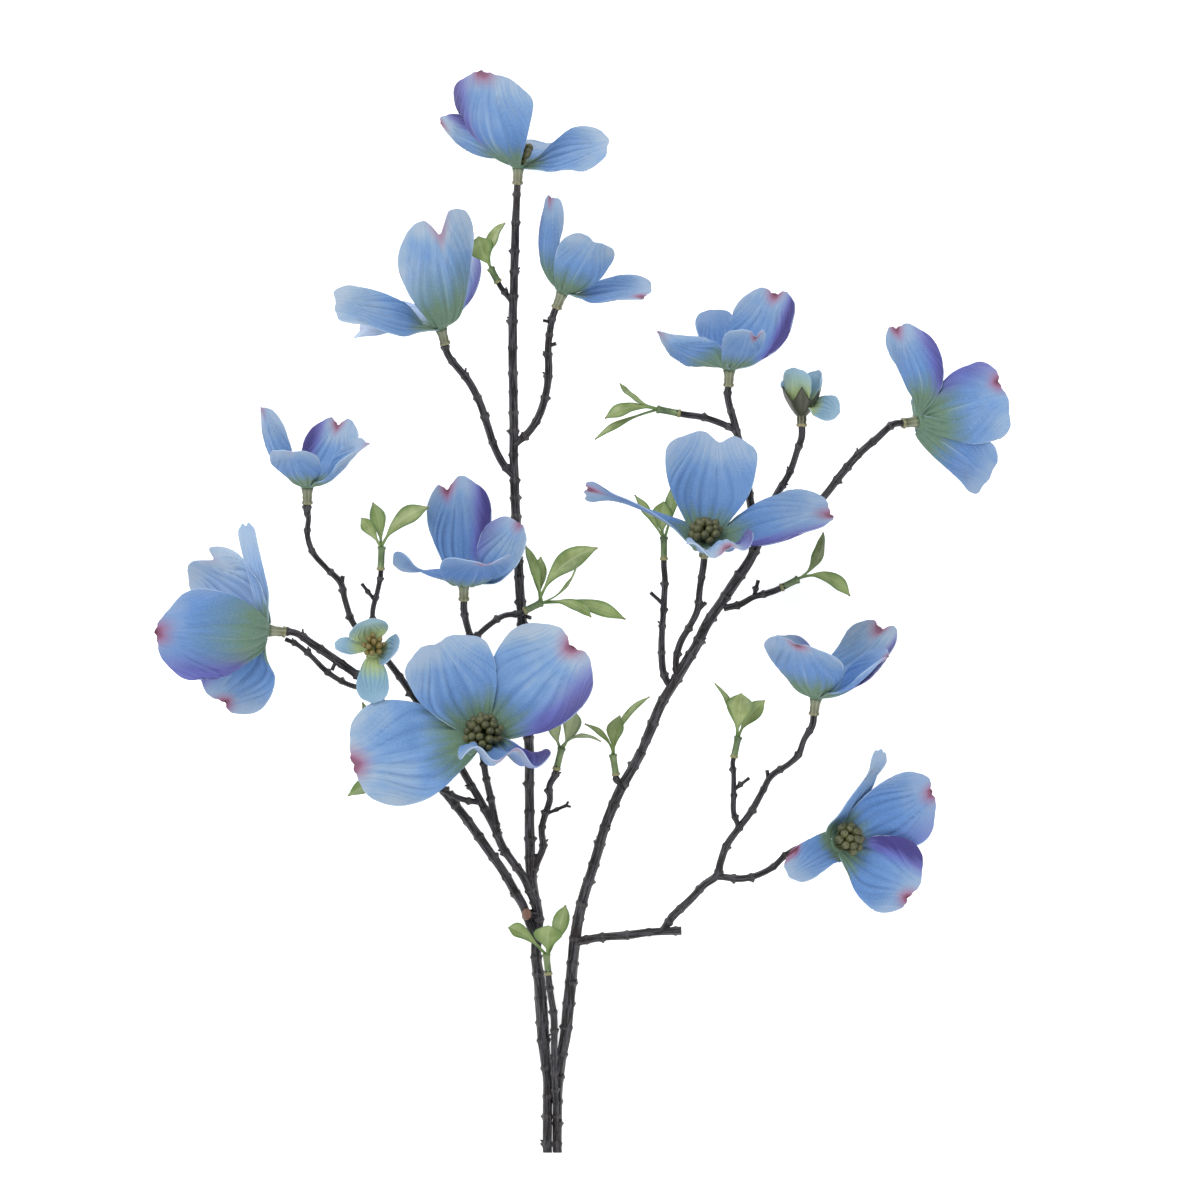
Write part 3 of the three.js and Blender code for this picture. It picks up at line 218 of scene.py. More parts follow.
BLOOMS = [
    bloom("bloom_01", [-29.5, 201, 42], [0.05, 1, 0.15], [
        petal([-13, 42, 27], 47, [25, 80], neck=0.1, fullest=0.82, square=1.4, notch=-0.02, cup=0.6,
            sway=-4, violet=-1.1, spot=(-0.1, 1), green=0.15, tone=0.6),
        petal([-35, 22, -9], 30, [30, 50], cup=0.6, roll=42, violet=1.3, spot=(-0.2, 1), tone=0.3),
        petal([41, 9, 8], 27, [10, 10], neck=0.14, notch=0.02, cup=0.4, roll=38, wave=1, blush=0, tone=0.3),
        petal([14, 12, -42], 26, [15, 15], cup=0.4, blush=0),
    ], count=12, radius=5, height=6),
    bloom("bloom_02", [-64.5, 128.5, 42], [-0.25, 0.93, 0.15], [
        petal([-3, 51, 26], 46, [15, 85], fullest=1.05, skew=0.04, notch=0.28, cup=0.6, sway=-2.5,
            blush=0.6, spot=(0.1, 1), green=0.3, tone=0.2),
        petal([-48, 9.5, 8], 30, [15, 20], neck=0.55, square=3, shoulder=0.85, notch=0.03, roll=-30, sway=3,
            blush=0, green=0.24, tone=0),
        # tone -1: a paler tint, partly this petal's own pale cloth and partly painted light lifting it out
        # of the shade under the petal above
        petal([-38, -1, -20], 28, [25, -5], roll=-20, blush=0.2, tone=-1),
        petal([9, 33, -31], 28, [15, 50], blush=0, violet=-0.8, tone=-0.3),
    ]),
    bloom("bloom_03", [-9.5, 144.5, 42], [0.35, 0.9, 0.05], [
        petal([-5, 43, 6], 18, [20, 75], fullest=0.95, square=3, notch=0.03, cup=0.9, roll=30, blush=0.8,
            violet=-0.4, tone=0.7),
        petal([15, 23, 30], 26, [15, 35], notch=0.12, blush=0, tone=0.4),
        petal([39, -1, 6], 26, [0, 5], square=3.5, notch=0.04, roll=28, spot=(-0.5, 0.97), tone=0.8),
        petal([8, 14, -41], 26, [10, 10], blush=0, tone=0.3),
    ]),
    bloom("bloom_04", [65.5, 110, 42], [0.05, 1, 0.1], [
        petal([-33, 15, 16], 33, [10, 35], neck=0.3, fullest=0.4, square=1.3, shoulder=0.5, taper=0.5,
            notch=0, cup=0.7, roll=32, curl=2, blush=0.6, tone=0.6),
        petal([-7, 27, -32], 21, [20, 50], notch=0.04, wave=1, blush=0, tone=1.5),
        petal([21, 36, -20], 32, [10, 70], fullest=0.5, notch=0.06, cup=0.6, roll=10, violet=-1.8, tone=0.7),
        petal([9, 17, 33], 21, [15, 45], neck=0.3, fullest=0.9, square=3.5, notch=0.2, cup=0.6,
            spot=(0.35, 1), tone=0.7),
    ]),
    bloom("bloom_05", [150.5, 86, 42], [0.85, 0.1, -0.45], [
        petal([-8, 44, 5], 26, [20, 0], roll=30, sway=5, violet=0.95, spot=(-0.2, 1), tone=0.9),
        petal([39, 12, 20], 37, [25, 45], square=3, shoulder=0.8, skew=0.03, notch=0.03, cup=0.4,
            violet=-0.65, spot=(-0.35, 1), green=0.26, tone=0.8),
        petal([31.5, -25.5, 8], 33, [30, 20], neck=0.4, square=3, shoulder=0.85, notch=0, cup=0.3, blush=0,
            green=0.24, tone=1.2),
        petal([-2, 2, -43.5], 37, [20, 10], roll=-10, blush=0, tone=0.8),
    ]),
    bloom("bloom_06", [-124.5, 57, 42], [0, 1, 0.1], [
        petal([-20, 36, -4], 27, [25, 80], notch=0.03, cup=0.6, roll=45, blush=0.7, tone=0.6),
        petal([-8, 16, 31], 24, [15, 45], notch=0, cup=0.6, blush=0.2, tone=0.8),
        petal([14, 31, -42.2], 25, [15, 50], notch=0.1, cup=0.6, violet=1.4, tone=0.5),
        petal([26, 19, 16], 30, [10, 40], square=1.3, notch=-0.06, cup=0.7, roll=25, blush=0.7, tone=0.6),
    ]),
    bloom("bloom_07", [-142.5, -8, 42], [-0.97, 0.1, 0.15], [
        petal([-49, -1, 23], 44, [15, 85], square=1.6, notch=-0.04, cup=0.6, hem=(-1, 0.78, -30),
            violet=-0.7, green=0.33, tone=1.6),
        petal([-35, 30, -12], 29, [20, 70], notch=0.25, roll=40, wave=1.5, blush=0.2, spot=(-0.45, 1),
            tone=-0.3),
        petal([-10, 48, -6], 8, [13, 13], neck=0.8, square=3, shoulder=0.9, notch=0.02, cup=0.6, roll=75,
            blush=0, tone=-0.3),
        petal([-24, -32, -16], 35, [20, 40], skew=-0.05, notch=0.08, cup=0.4, roll=-70, violet=-1.5,
            spot=(0.2, 1), tone=0.8),
    ]),
    bloom("bloom_08", [-54, 13.5, 50], [0, 1, 0.25], [
        petal([-3, 48, -14], 31, [20, 75], fullest=0.78, square=1.7, notch=0.14, cup=0.6, violet=-1.5,
            spot=(0.3, 1), tone=1),
        petal([25, 27, 7], 28, [15, 60], notch=0.03, cup=0.6, roll=45, blush=0.8, violet=0.5, tone=0.1),
        petal([9, 10, 38], 34, [-5, 25], notch=0.04, cup=0.6, spot=(0.1, 0.98), tone=1.6),
        petal([-32, 10, -14], 22, [10, 15], notch=0.02, cup=0.3, twist=60, blush=0, tone=1.2),
    ], count=4, height=6),
    bloom("bloom_09", [54.5, 32, 52], [0.05, 0.8, 0.6], [
        petal([4, 49, -10], 42, [15, 45], fullest=0.78, shoulder=0.8, notch=0.12, wave=1, blush=0,
            spot=(-0.15, 1), green=0.3, tone=0.7),
        petal([57, 13, 4], 36, [10, 5], notch=0, cup=0.4, violet=-0.9, green=0.3, tone=0.8),
        petal([-54, 22, 4], 16, [25, 0], neck=1, square=3, shoulder=0.94, taper=0.6, flare=1.5, notch=0.02,
            cup=0.4, roll=20, twist=60, violet=0.2, spot=(0.4, 0.98), tone=0.8),
        petal([10, -5, 44], 31, [10, 5], notch=0.03, cup=0.4, wave=1.5, ruffle=(2.2, 2, 1), violet=0.9,
            tone=-0.2),
    ], count=18, radius=6.2, height=4.5),
    bloom("bloom_10", [-45.5, -56, 54], [0.03, 0.4, 0.92], [
        petal([-59, -12, 12], 53, [5, 10], notch=0.04, cup=0.3, green=0.36, tone=0.2),
        petal([-21, 43, 2], 41, [10, 20], square=2.6, shoulder=0.78, skew=0.03, notch=0.02, cup=0.4,
            blush=0.1, green=0.36, tone=0.5),
        petal([42, 43, 4], 49, [5, 15], notch=0.06, cup=0.3, violet=-1, green=0.3, tone=0.1),
        petal([12, -8, 38], 42, [30, 80], notch=0.03, cup=0.2, roll=-30, wave=2, ruffle=(3.4, 2.3, 0.5),
            violet=1.2, tone=0.7),
    ], count=24, radius=7.4, height=4.8),
    bloom("bloom_11", [104.5, -38, 42], [0.12, 0.95, 0.1], [
        petal([-9, 25, 32], 38, [20, 40], square=1.7, skew=-0.06, notch=0.06, tone=0.9),
        petal([34, 33, -20], 38, [15, 60], fullest=0.55, square=1.6, skew=0.09, notch=0.1, cup=0.6,
            violet=-1.7, spot=(0.3, 1), tone=0.3),
        petal([32, 19, 16], 32, [15, 45], notch=0.03, cup=0.7, roll=25, tone=1.6),
        petal([-14, 28, -33], 17, [15, 15], blush=0, violet=-0.5, tone=0.5),
    ]),
    bloom("bloom_12", [114, -104.5, 28], [0.68, 0.32, 0.66], [
        petal([44, 23.5, -8], 36, [20, 25], square=1.9, skew=0.03, notch=0, cup=0.4, roll=18, violet=-0.4,
            green=0.3, tone=1.3),
        petal([36, -20.5, 0], 37, [25, 30], notch=0.04, cup=0.4, roll=25, violet=1.7, spot=(-0.3, 1),
            green=0.3, tone=0.9),
        petal([-22, -14, 26], 17, [5, -10], neck=0.9, notch=0.03, cup=0.4, roll=25, sway=-1,
            spot=(-0.85, 0.75), tone=0.7),
        petal([19.8, 42.5, 6], 22, [20, 25], neck=0.6, fullest=0.3, shoulder=0.9, taper=0.9, flare=2.6,
            notch=0, roll=20, twist=-10, blush=0, tone=0.5),
    ], count=18, radius=6, height=7.2),
]

SMALL_BLOOMS = [
    bloom("small_bloom_01", [98, 92, 46], [0, 1, 0], [
        petal([-4, 18, 5], 17, [60, 90], neck=0.5, notch=0, cup=0.9, blush=0, green=0.42, tone=0),
        petal([7, 17, -5], 17, [60, 90], neck=0.5, notch=0, cup=0.7, blush=0, green=0.42, tone=0),
        petal([17, -2, 4], 18, [10, 0], notch=0, roll=40, blush=0, green=0.42, tone=0),
        petal([-4, 14, -8], 15, [60, 80], neck=0.4, notch=0, cup=0.7, blush=0, green=0.42, tone=0),
    ], count=3, radius=1.8, height=3, size=0.6,
    calyx=Record(foot=-3.4, low=2.5, dip=3.6, high=7.4, top=9.8, wide=9.4)),
    bloom("small_bloom_02", [-95, -16.5, 53], [0.05, 0.3, 0.95], [
        petal([-3, 13, 4], 19, [20, 45], notch=0, cup=0.6, blush=0, green=0.85, tone=0),
        petal([11, 0, 12], 16, [20, 70], notch=0, blush=0, green=0.3, tone=0.2),
        petal([-17, 2, 4], 8, [10, 10], notch=0, blush=0, green=0.6, tone=0),
        petal([0, -24, 4], 15, [20, 5], notch=0, blush=0, green=0.45, tone=0),
    ], count=11, radius=4, height=4, size=0.7, stretch=2, gold=1),
]

SPRIGS = [
    sprig("leaf_sprig_01", [-38.5, 148.5, 43], [-42, 155, 44], [
        leaf([-6, 14, 1], [-1, 0, 1], [-0.3, 0, 1], 12),
        leaf([6, 20, 3], [-3, 1, 1], [-0.8, 0.2, 0.6], 8),
    ]),
    sprig("leaf_sprig_02", [43.5, 89.5, 43], [33, 91.5, 44], [
        leaf([-17, 11, 3], [-2, -1.5, 1], [0.5, 0.6, 0.5], 5),
        leaf([-23.5, -3.5, 2], [0, 3, 2], [0, 0.6, 0.8], 7),
        leaf([-28, -13, -2], [-1, 1.5, 0], [0, 0.7, 0.7], 3.6),
    ]),
    sprig("leaf_sprig_03", [-91.5, 19, 42], [-91, 29.5, 43], [
        leaf([-8.5, 13, 4], [0, 1, 2], [0, -0.3, 1], 6),
        leaf([-3.5, 20, -2], [1, 0, 0], [0.2, 0, 1], 7),
        leaf([20.5, 18, 3], [-3, 2, 1], [-0.3, 0.4, 0.9], 9),
    ]),
    sprig("leaf_sprig_04", [-27, 0.5, 47], [-19, 4.5, 48], [
        leaf([-7, 25, 1], [1, 0, 2], [0.6, 0, 0.8], 6),
        leaf([0, 20, -2], [-1, 0, -1], [0.3, 0, 1], 7),
        leaf([25.5, 24, 2], [-4, 3, 2], [-0.3, 0.2, 1], 10),
        leaf([17, 19, 7], [3, -3, 2], [-0.7, 0.7, 0.2], 5),
        leaf([22, -6, 4], [2, 3, 1], [0.1, 0.5, 0.9], 6),
        leaf([37.5, -7, -3], [0, 3, 0], [0, 0.4, 0.9], 7),
    ]),
    sprig("leaf_sprig_05", [36, 23.5, 38], [36, 34, 38.5], [
        leaf([-12.5, 19, 2], [1, -1, 1], [0.6, 0.3, 0.7], 5),
        leaf([0, 16, -3], [-1, 0, -1], [0, 0, 1], 9),
        leaf([4, 24, -6], [1, 0, -1], [-0.5, 0, 0.9], 6),
    ]),
    sprig("leaf_sprig_06", [88.5, 11, 42], [96.5, 15, 42.5], [
        leaf([11.5, 20.5, 2], [3, -2, 1], [-0.7, 0.3, 0.6], 8),
        leaf([23, -7, -1], [1, 5, 1], [0, 0.5, 0.9], 7),
    ]),
    sprig("leaf_sprig_07", [67.5, -65.5, 35], [69.5, -56, 36], [
        leaf([-10, 24, 3], [2, 1, 1], [0.8, 0.2, 0.5], 4),
        leaf([2, 19.5, 1], [0, 1, 2], [0, -0.3, 1], 12),
        leaf([11.5, 16.5, -3], [-1.5, 1, -1], [0.3, 0, 1], 8),
    ]),
    # tone -1 below: a paler tint, painted light that lifts these leaves out of the shade that bloom_10 casts
    # on them
    sprig("leaf_sprig_08", [-12.5, -71, 33], [-10, -61, 34.5], [
        leaf([-3, 14, -3], [-1, 0, -1], [0, 0, 1], 6),
        leaf([6, 16, -2], [1, 0, 1], [-0.4, 0, 0.9], 9),
        leaf([17, 3, 3], [-1, 4, 1], [0.2, 0.8, 0.5], 3),
    ], tone=-1),
    sprig("leaf_sprig_09", [14.5, -73.5, 33], [13, -64, 34], [
        leaf([2.5, 17.5, 1], [-1, 0, 2], [-0.5, 0, 0.9], 8),
        leaf([16, 26, -2], [-4, 2, -1], [-0.5, 0.2, 0.8], 3.6),
        leaf([-12, 14, 4], [3, 1, 1], [0.4, 0.5, 0.7], 3),
    ]),
    sprig("leaf_sprig_10", [-16, -163.5, 22], [-17, -154, 23.5], [
        leaf([-16.5, 12, 2], [-1, 3, 2], [0.2, 0.4, 0.9], 7),
        leaf([0.5, 13, 4], [0, 1, 2], [0, -0.2, 1], 13),
        leaf([8, 22, -1], [1, 0, 1], [-0.3, 0, 1], 8),
    ], tone=0.8),
    sprig("leaf_sprig_11", [-68.5, -78, 36], [-77, -73, 37.5], [
        leaf([-29, -9, 3], [0, 3, 1], [0, 0.3, 1], 8),
        leaf([-23, 32, 6], [-3, 0, 1], [0.2, 0, 1], 7),
    ]),
]

STEMS = [
    stem("stem_centre", [
        ("bloom_01", [
            [-16.5, -244, 1.4, 2], [-16.5, -228, 1.4, 2.1], [-16.5, -212.5, 3, 2.1],
            [-17.5, -201.5, 5, 2.4], [-18.5, -190, 7.5, 2.7], [-19, -179, 10, 2.8],
            [-20, -167.5, 12.5, 2.7], [-21.5, -156.5, 15, 2.4], [-21.5, -147.5, 17, 2.3],
            [-20.5, -137.5, 19, 2.3], [-22.5, -127, 21, 2.3], [-24, -116, 23, 2.3],
            [-24.5, -102.5, 25.5, 2.3], [-24.5, -84.5, 28.5, 2.1], [-24.5, -66.5, 31, 2.2],
            [-25.5, -48.5, 33, 2.1], [-27, -26, 35, 2.1], [-28, -3.5, 37, 2.2], [-29, 12.5, 38, 2.1],
            [-30, 32.5, 39, 2.1], [-31, 50.5, 39.5, 2.1], [-31.5, 68.5, 40, 2], [-31.5, 86.5, 40.5, 2.1],
            [-32, 104.5, 41, 2], [-32, 127, 41, 2], [-31.5, 149.5, 41, 1.9], [-31, 167.5, 41, 1.9],
        ]),
        ("bloom_02", [
            [-31.5, 61.5, 40, 1.7], [-36, 66.5, 40.5, 1.7], [-40, 74, 41, 1.7], [-43.5, 84.5, 41.5, 1.8],
            [-47, 94.5, 42, 1.7], [-51.5, 103.5, 42, 1.7],
        ]),
        ("bloom_03", [
            [-31.5, 75.5, 40.5, 1.7], [-25, 81, 41, 1.7], [-20, 89, 41.5, 1.8], [-17, 99, 42, 1.7],
            [-16, 109, 42, 1.8], [-16, 120.5, 42, 1.6],
        ]),
        ("leaf_sprig_01", [[-32, 139.5, 41, 1.3], [-35.5, 144, 42, 1.2]]),
        ("bloom_08", [
            [-26.5, -38, 34.5, 1.5], [-38.5, -29, 37, 1.5], [-48, -20, 40, 1.4], [-51, -11.5, 43, 1.5],
        ]),
        ("leaf_sprig_04", [[-50.5, -13, 42.5, 1.3], [-43, -6, 45.5, 1.3], [-36, -1.5, 47, 1.3]]),
        ("leaf_sprig_08", [
            [-23.5, -120.5, 22.5, 1.5], [-21, -112.5, 24, 1.6], [-18.5, -106, 25.5, 1.6],
            [-19, -98, 27.5, 1.5], [-17.5, -91, 29.5, 1.5], [-15.5, -84.5, 31, 1.5], [-15.5, -78, 32, 1.5],
        ]),
    ], stubs=[
        [[-16, 120, 42], [-12.5, 121, 43], 1], [[-16, 131, 42], [-18.5, 131.5, 42], 0.8],
        [[-17.5, -91, 29.5], [-8, -87, 31], 0.9], [[-29, -0.5, 37.5], [-24, -2.5, 41], 1],
        [[-22, -136, 19], [-25.6, -136, 22.6], 2.5],
    ]),
    stem("branch_left", [
        ("bloom_07", [
            [-20.5, -150, 17.5, 1.9], [-24.5, -140, 19, 2], [-27.5, -132, 20.5, 2], [-31, -126, 21.5, 2.1],
            [-37, -116, 23.5, 2], [-46, -103, 25.5, 2.1], [-54, -91.5, 27.5, 2], [-61.5, -82.5, 29, 2],
            [-71, -70, 31, 1.9], [-81, -56, 33.5, 1.8], [-89, -44, 35, 1.9], [-94.5, -35, 36.5, 1.8],
            [-101, -29, 37.5, 1.8], [-111.5, -21.5, 39, 1.9], [-121.5, -14.5, 40.5, 1.8],
        ]),
        (None, [
            [-88.5, -45, 35, 1.3], [-92, -38.5, 35, 1.3], [-98, -35, 35.5, 1.3], [-107, -32, 36, 1.2],
            [-116, -26.5, 37, 1.3], [-123, -19.5, 37.5, 1.2], [-129, -14.5, 37.5, 1.1], [-134.5, -12, 37, 1],
        ]),
    ], stubs=[[[-111.5, -21.5, 39], [-113.5, -26, 39.5], 1]]),
    stem("branch_inner", [
        ("bloom_06", [
            [-22.5, -130, 22, 1.8], [-27, -119.5, 25.5, 1.9], [-32, -112.5, 28, 1.8], [-37, -105, 30, 1.9],
            [-40.5, -97, 31.5, 1.7], [-45.5, -87, 33, 1.8], [-51.5, -76.5, 34.5, 1.7],
            [-57.5, -66, 36, 1.7], [-65, -54, 37.5, 1.6], [-73, -43, 39, 1.6], [-81, -31.5, 40, 1.6],
            [-88.5, -21.5, 41, 1.5], [-92, -17, 41, 1.4], [-99, -10.5, 41, 1.3], [-104, -4.5, 41, 1.4],
            [-107.5, 5.5, 41, 1.4], [-109.5, 13.5, 41, 1.5], [-116, 20, 41.5, 1.3], [-122, 27, 42, 1.4],
            [-124.5, 35, 42, 1.3], [-124, 43, 42, 1.3],
        ]),
        ("leaf_sprig_03", [
            [-92, -17, 41, 1.2], [-94.5, -9.5, 41, 1.2], [-95, 1, 41.5, 1.2], [-93, 9, 42, 1.2],
        ]),
        ("small_bloom_02", [[-92.5, -17.5, 41, 1.2]]),
        ("bloom_10", [
            [-38.5, -101.5, 30.5, 1.7], [-40.5, -91, 33, 1.6], [-42.5, -81, 36.5, 1.6],
            [-44.5, -72, 40, 1.5],
        ]),
        ("leaf_sprig_11", [[-47, -85.5, 33.5, 1.3], [-55, -84, 34.5, 1.3], [-63, -80.5, 35.5, 1.2]]),
    ], stubs=[
        [[-109, 13, 41], [-108.5, 16.5, 41.5], 1.1], [[-94.5, 6, 41.5], [-100, 13, 43], 0.9],
    ]),
    stem("twig_middle", [
        ("leaf_sprig_10", [
            [-12.1, -234, 2.6, 1.2], [-12.6, -224, 5.2, 1.3], [-13.3, -211, 8.6, 1.4],
            [-13.5, -197, 12, 1.5], [-13.5, -183.5, 15.5, 1.6], [-15, -172, 19, 1.5],
        ]),
    ]),
    stem("stem_right", [
        (None, [
            [-12, -244, 1.4, 2], [-12, -228, 1.4, 2.1], [-11.5, -212.5, 3, 2.1], [-10.5, -202.5, 5, 2.3],
            [-8.5, -191.5, 7.5, 2.5], [-7, -179, 10.5, 2.6], [-6, -167.5, 13, 2.6], [-5, -156.5, 15.5, 2.5],
            [-4, -146.5, 17.5, 2.6], [-2, -136, 19.5, 2.4], [0.5, -126, 21.5, 2.4], [3.5, -117, 23, 2.3],
            [6, -108, 24.5, 2.3], [9, -98, 26.5, 2.2], [13, -87.5, 28, 2.3], [17.5, -78, 29.5, 2.3],
            [22.5, -69, 31, 2.2], [26, -62.5, 32.5, 2.3],
        ]),
        (None, [
            [-3, -148.5, 17.5, 2], [8, -146.5, 18, 1.8], [20.5, -145.5, 18.5, 2], [30.5, -144, 19, 1.8],
            [44, -143.5, 19.5, 1.9],
        ]),
        (None, [[35, -144, 19.3, 1.6], [38, -140, 20, 1.8], [40, -137, 20.5, 1.8]]),
        ("leaf_sprig_09", [[18, -79.5, 30, 1.3], [16.5, -77, 31.5, 1.3]]),
    ]),
    stem("stem_upper", [
        (None, [
            [26, -62.5, 32.5, 1.9], [30, -53, 34, 2.3], [34, -43, 35, 2.3], [39, -34, 36, 2.3],
            [45, -24, 37, 2.4], [50, -16, 38, 2.3], [55, -6, 38.5, 2.3], [61.5, 4, 39, 2.3],
            [68.5, 14.5, 39.5, 2.4], [74.5, 23.5, 40, 2.2], [78.5, 31.5, 40, 2.2],
        ]),
        ("bloom_04", [
            [78.5, 31.5, 40, 1.9], [76.5, 41.5, 40.5, 1.9], [74.5, 53, 41, 1.8], [74, 60.5, 41, 1.7],
            [74, 69.5, 41, 1.8], [70, 77.5, 41, 1.6], [68, 84.5, 41, 1.7],
        ]),
        ("leaf_sprig_02", [[68.5, 82, 41, 1.5], [61, 85.5, 42, 1.5], [53, 88, 42.5, 1.5]]),
        ("small_bloom_01", [
            [79, 32.5, 40, 1.6], [81.5, 42.5, 40, 1.6], [86.5, 52.5, 41, 1.7], [92.5, 63, 43.5, 1.5],
            [96, 73, 45.5, 1.5],
        ]),
        ("bloom_05", [
            [78.5, 31.5, 40, 1.8], [88.5, 35, 40, 1.7], [98, 41.5, 40.5, 1.8], [109, 53.5, 41.5, 1.7],
            [116.5, 63, 42.5, 1.8], [123.5, 71, 43.5, 1.7], [131.5, 78, 45, 1.7],
        ]),
        ("leaf_sprig_05", [
            [39.5, -34.5, 36, 1.6], [36, -27.5, 36, 1.6], [35, -17, 36.5, 1.6], [35.5, -3.5, 37, 1.4],
            [36, 5.5, 37, 1.5], [36.5, 14.5, 37.5, 1.4],
        ]),
        ("bloom_09", [
            [42, -29.5, 37, 1.5], [41.5, -21.5, 38, 1.5], [43.5, -13.5, 39.5, 1.6], [47.5, -6.5, 41, 1.5],
            [51, 1, 42.5, 1.6], [52, 10, 44, 1.5],
        ]),
        ("leaf_sprig_06", [[63, 2, 39, 1.6], [70, 3.5, 40, 1.5], [76.5, 7, 41, 1.4], [82, 8.5, 41.5, 1.5]]),
    ], stubs=[
        [[35.5, 4, 37], [30, 9, 38.5], 1], [[50.5, 0, 42], [55, 4.5, 43.5], 1],
        [[76.5, 7, 41], [78.5, 14.5, 42.5], 1], [[53, -7.5, 39], [54, -6, 42], 1.4],
    ]),
    stem("branch_low", [
        ("bloom_11", [
            [39.5, -137.5, 20.5, 1.9], [48.5, -129, 21.5, 1.8], [54, -123, 22.5, 1.8],
            [60, -118.5, 23.5, 1.9], [61.5, -112.5, 25, 1.7], [64, -105.5, 27, 1.7], [69.5, -97.5, 29, 1.6],
            [75.5, -89.5, 31, 1.6], [80.5, -80.5, 33, 1.5], [84, -74, 35, 1.5], [92.5, -68, 37.5, 1.4],
            [96.5, -64, 39, 1.5], [99, -57.5, 40, 1.4],
        ]),
        ("bloom_12", [
            [60.5, -119, 23.5, 1.6], [71, -120, 23, 1.6], [78, -118.5, 22, 1.5], [85, -115, 21, 1.5],
            [91.5, -109, 20, 1.4], [98, -106, 19.5, 1.4],
        ]),
        ("leaf_sprig_07", [
            [70, -97, 29, 1.3], [67.5, -90, 30.5, 1.3], [67.5, -81, 32.5, 1.3], [67.5, -73, 34, 1.2],
        ]),
    ], stubs=[
        [[83, -75.5, 34.5], [82.5, -71, 35.5], 1], [[67.5, -80, 32.5], [74.5, -74.5, 34], 0.9],
    ]),
]

# ---- meshes


def new_object(name, data, place=(0, 0, 0)):
    item = bpy.data.objects.new(name, data)
    item.location = place
    bpy.context.scene.collection.objects.link(item)
    return item


MARKS = ("across", "along", "tone", "violet", "blush", "leafy", "back", "relief")


class Piece:
    """Gathers patches of points, in millimetres, and faces, and makes one smooth object of them."""

    def __init__(self):
        self.points, self.faces, self.grain, self.count = [], [], [], 0
        self.marks = {mark: [] for mark in MARKS}

    def add(self, points, faces, grain=None, **marks):
        points = np.asarray(points, float).reshape(-1, 3)
        size = len(points)
        self.points.append(points)
        self.faces.extend((np.asarray(faces) + self.count).tolist())
        self.grain.append(np.zeros((size, 3)) if grain is None else np.asarray(grain).reshape(-1, 3))
        for mark, blocks in self.marks.items():
            blocks.append(np.broadcast_to(np.ravel(marks.get(mark, 0.0)), (size,)))
        self.count += size

    def build(self, name, material, node):
        mesh = bpy.data.meshes.new(name)
        mesh.from_pydata(((np.vstack(self.points) + ORIGIN) * MM).tolist(), [], self.faces)
        for mark, blocks in self.marks.items():
            values = np.concatenate(blocks).astype(np.float32)
            mesh.attributes.new(mark, "FLOAT", "POINT").data.foreach_set("value", values)
        grain = np.vstack(self.grain).astype(np.float32).ravel()
        mesh.attributes.new("grain", "FLOAT_VECTOR", "POINT").data.foreach_set("vector", grain)
        mesh.shade_smooth()
        mesh.materials.append(material)
        piece = new_object(name, mesh)
        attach(piece, "root")
        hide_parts(node)


def grid_faces(rows, columns, closed=False):
    """Quads of a grid of points, row by row. Closed, the last column joins the first."""
    i, j = np.meshgrid(np.arange(rows - 1), np.arange(columns if closed else columns - 1), indexing="ij")
    a, b = i * columns + j, i * columns + (j + 1) % columns
    return np.stack([a, b, b + columns, a + columns], -1).reshape(-1, 4)


def grid_normals(grid):
    """Unit normals of a grid of points: the rows' direction crossed with the columns'."""
    normal = np.cross(np.gradient(grid, axis=0), np.gradient(grid, axis=1))
    return normal / (np.linalg.norm(normal, axis=2)[..., None] + 1e-9)


def add_blade(piece, grid, thickness, **marks):
    """A thin blade about a grid of points, with its own narrow face round the rim. Its front is on the
    normals' side."""
    rows, columns = grid.shape[:2]
    step = grid_normals(grid) * thickness / 2
    faces = grid_faces(rows, columns)
    front, back = grid + step, grid - step
    piece.add(front, faces[:, ::-1], back=0, **marks)
    piece.add(back, faces, back=1, **marks)
    rim = np.array(
        [(0, j) for j in range(columns - 1)]
        + [(i, columns - 1) for i in range(rows - 1)]
        + [(rows - 1, j) for j in range(columns - 1, 0, -1)]
        + [(i, 0) for i in range(rows - 1, 0, -1)]
    )
    pick = (rim[:, 0], rim[:, 1])
    edge = {
        mark: np.tile(np.broadcast_to(value, grid.shape[:2])[pick], 2) for mark, value in marks.items()
    }
    piece.add(np.vstack([front[pick], back[pick]]), grid_faces(2, len(rim), closed=True), back=0.5, **edge)


def add_rings(piece, rings, **marks):
    """A skin over rings of points, rings[row][corner], with a fan that closes each end."""
    rows, sides = rings.shape[:2]
    piece.add(rings, grid_faces(rows, sides, closed=True), **marks)
    for row, order in ((0, -1), (rows - 1, 1)):
        fan = [[k, (k + 1) % sides, sides][::order] for k in range(sides)]
        ends = {}
        for mark, value in marks.items():
            flat = np.asarray(value, float)
            if flat.ndim:
                flat = flat.reshape(rows, sides, -1)[row]
                flat = np.vstack([flat, flat.mean(0)])
                flat = flat if mark == "grain" else flat[:, 0]
            ends[mark] = flat
        piece.add(np.vstack([rings[row], rings[row].mean(0)]), fan, **ends)


def lathe(profile, sides, base, axis):
    """Rings of [radius, height] points turned about an axis through a base point."""
    side = unit(np.cross(axis, SLANT if abs(axis[2]) < 0.9 else [1, 0, 0]))
    ring = spokes(round_angles(sides), side, np.cross(axis, side))
    return np.array([base + axis * height + ring * radius for radius, height in profile])


# ---- petals


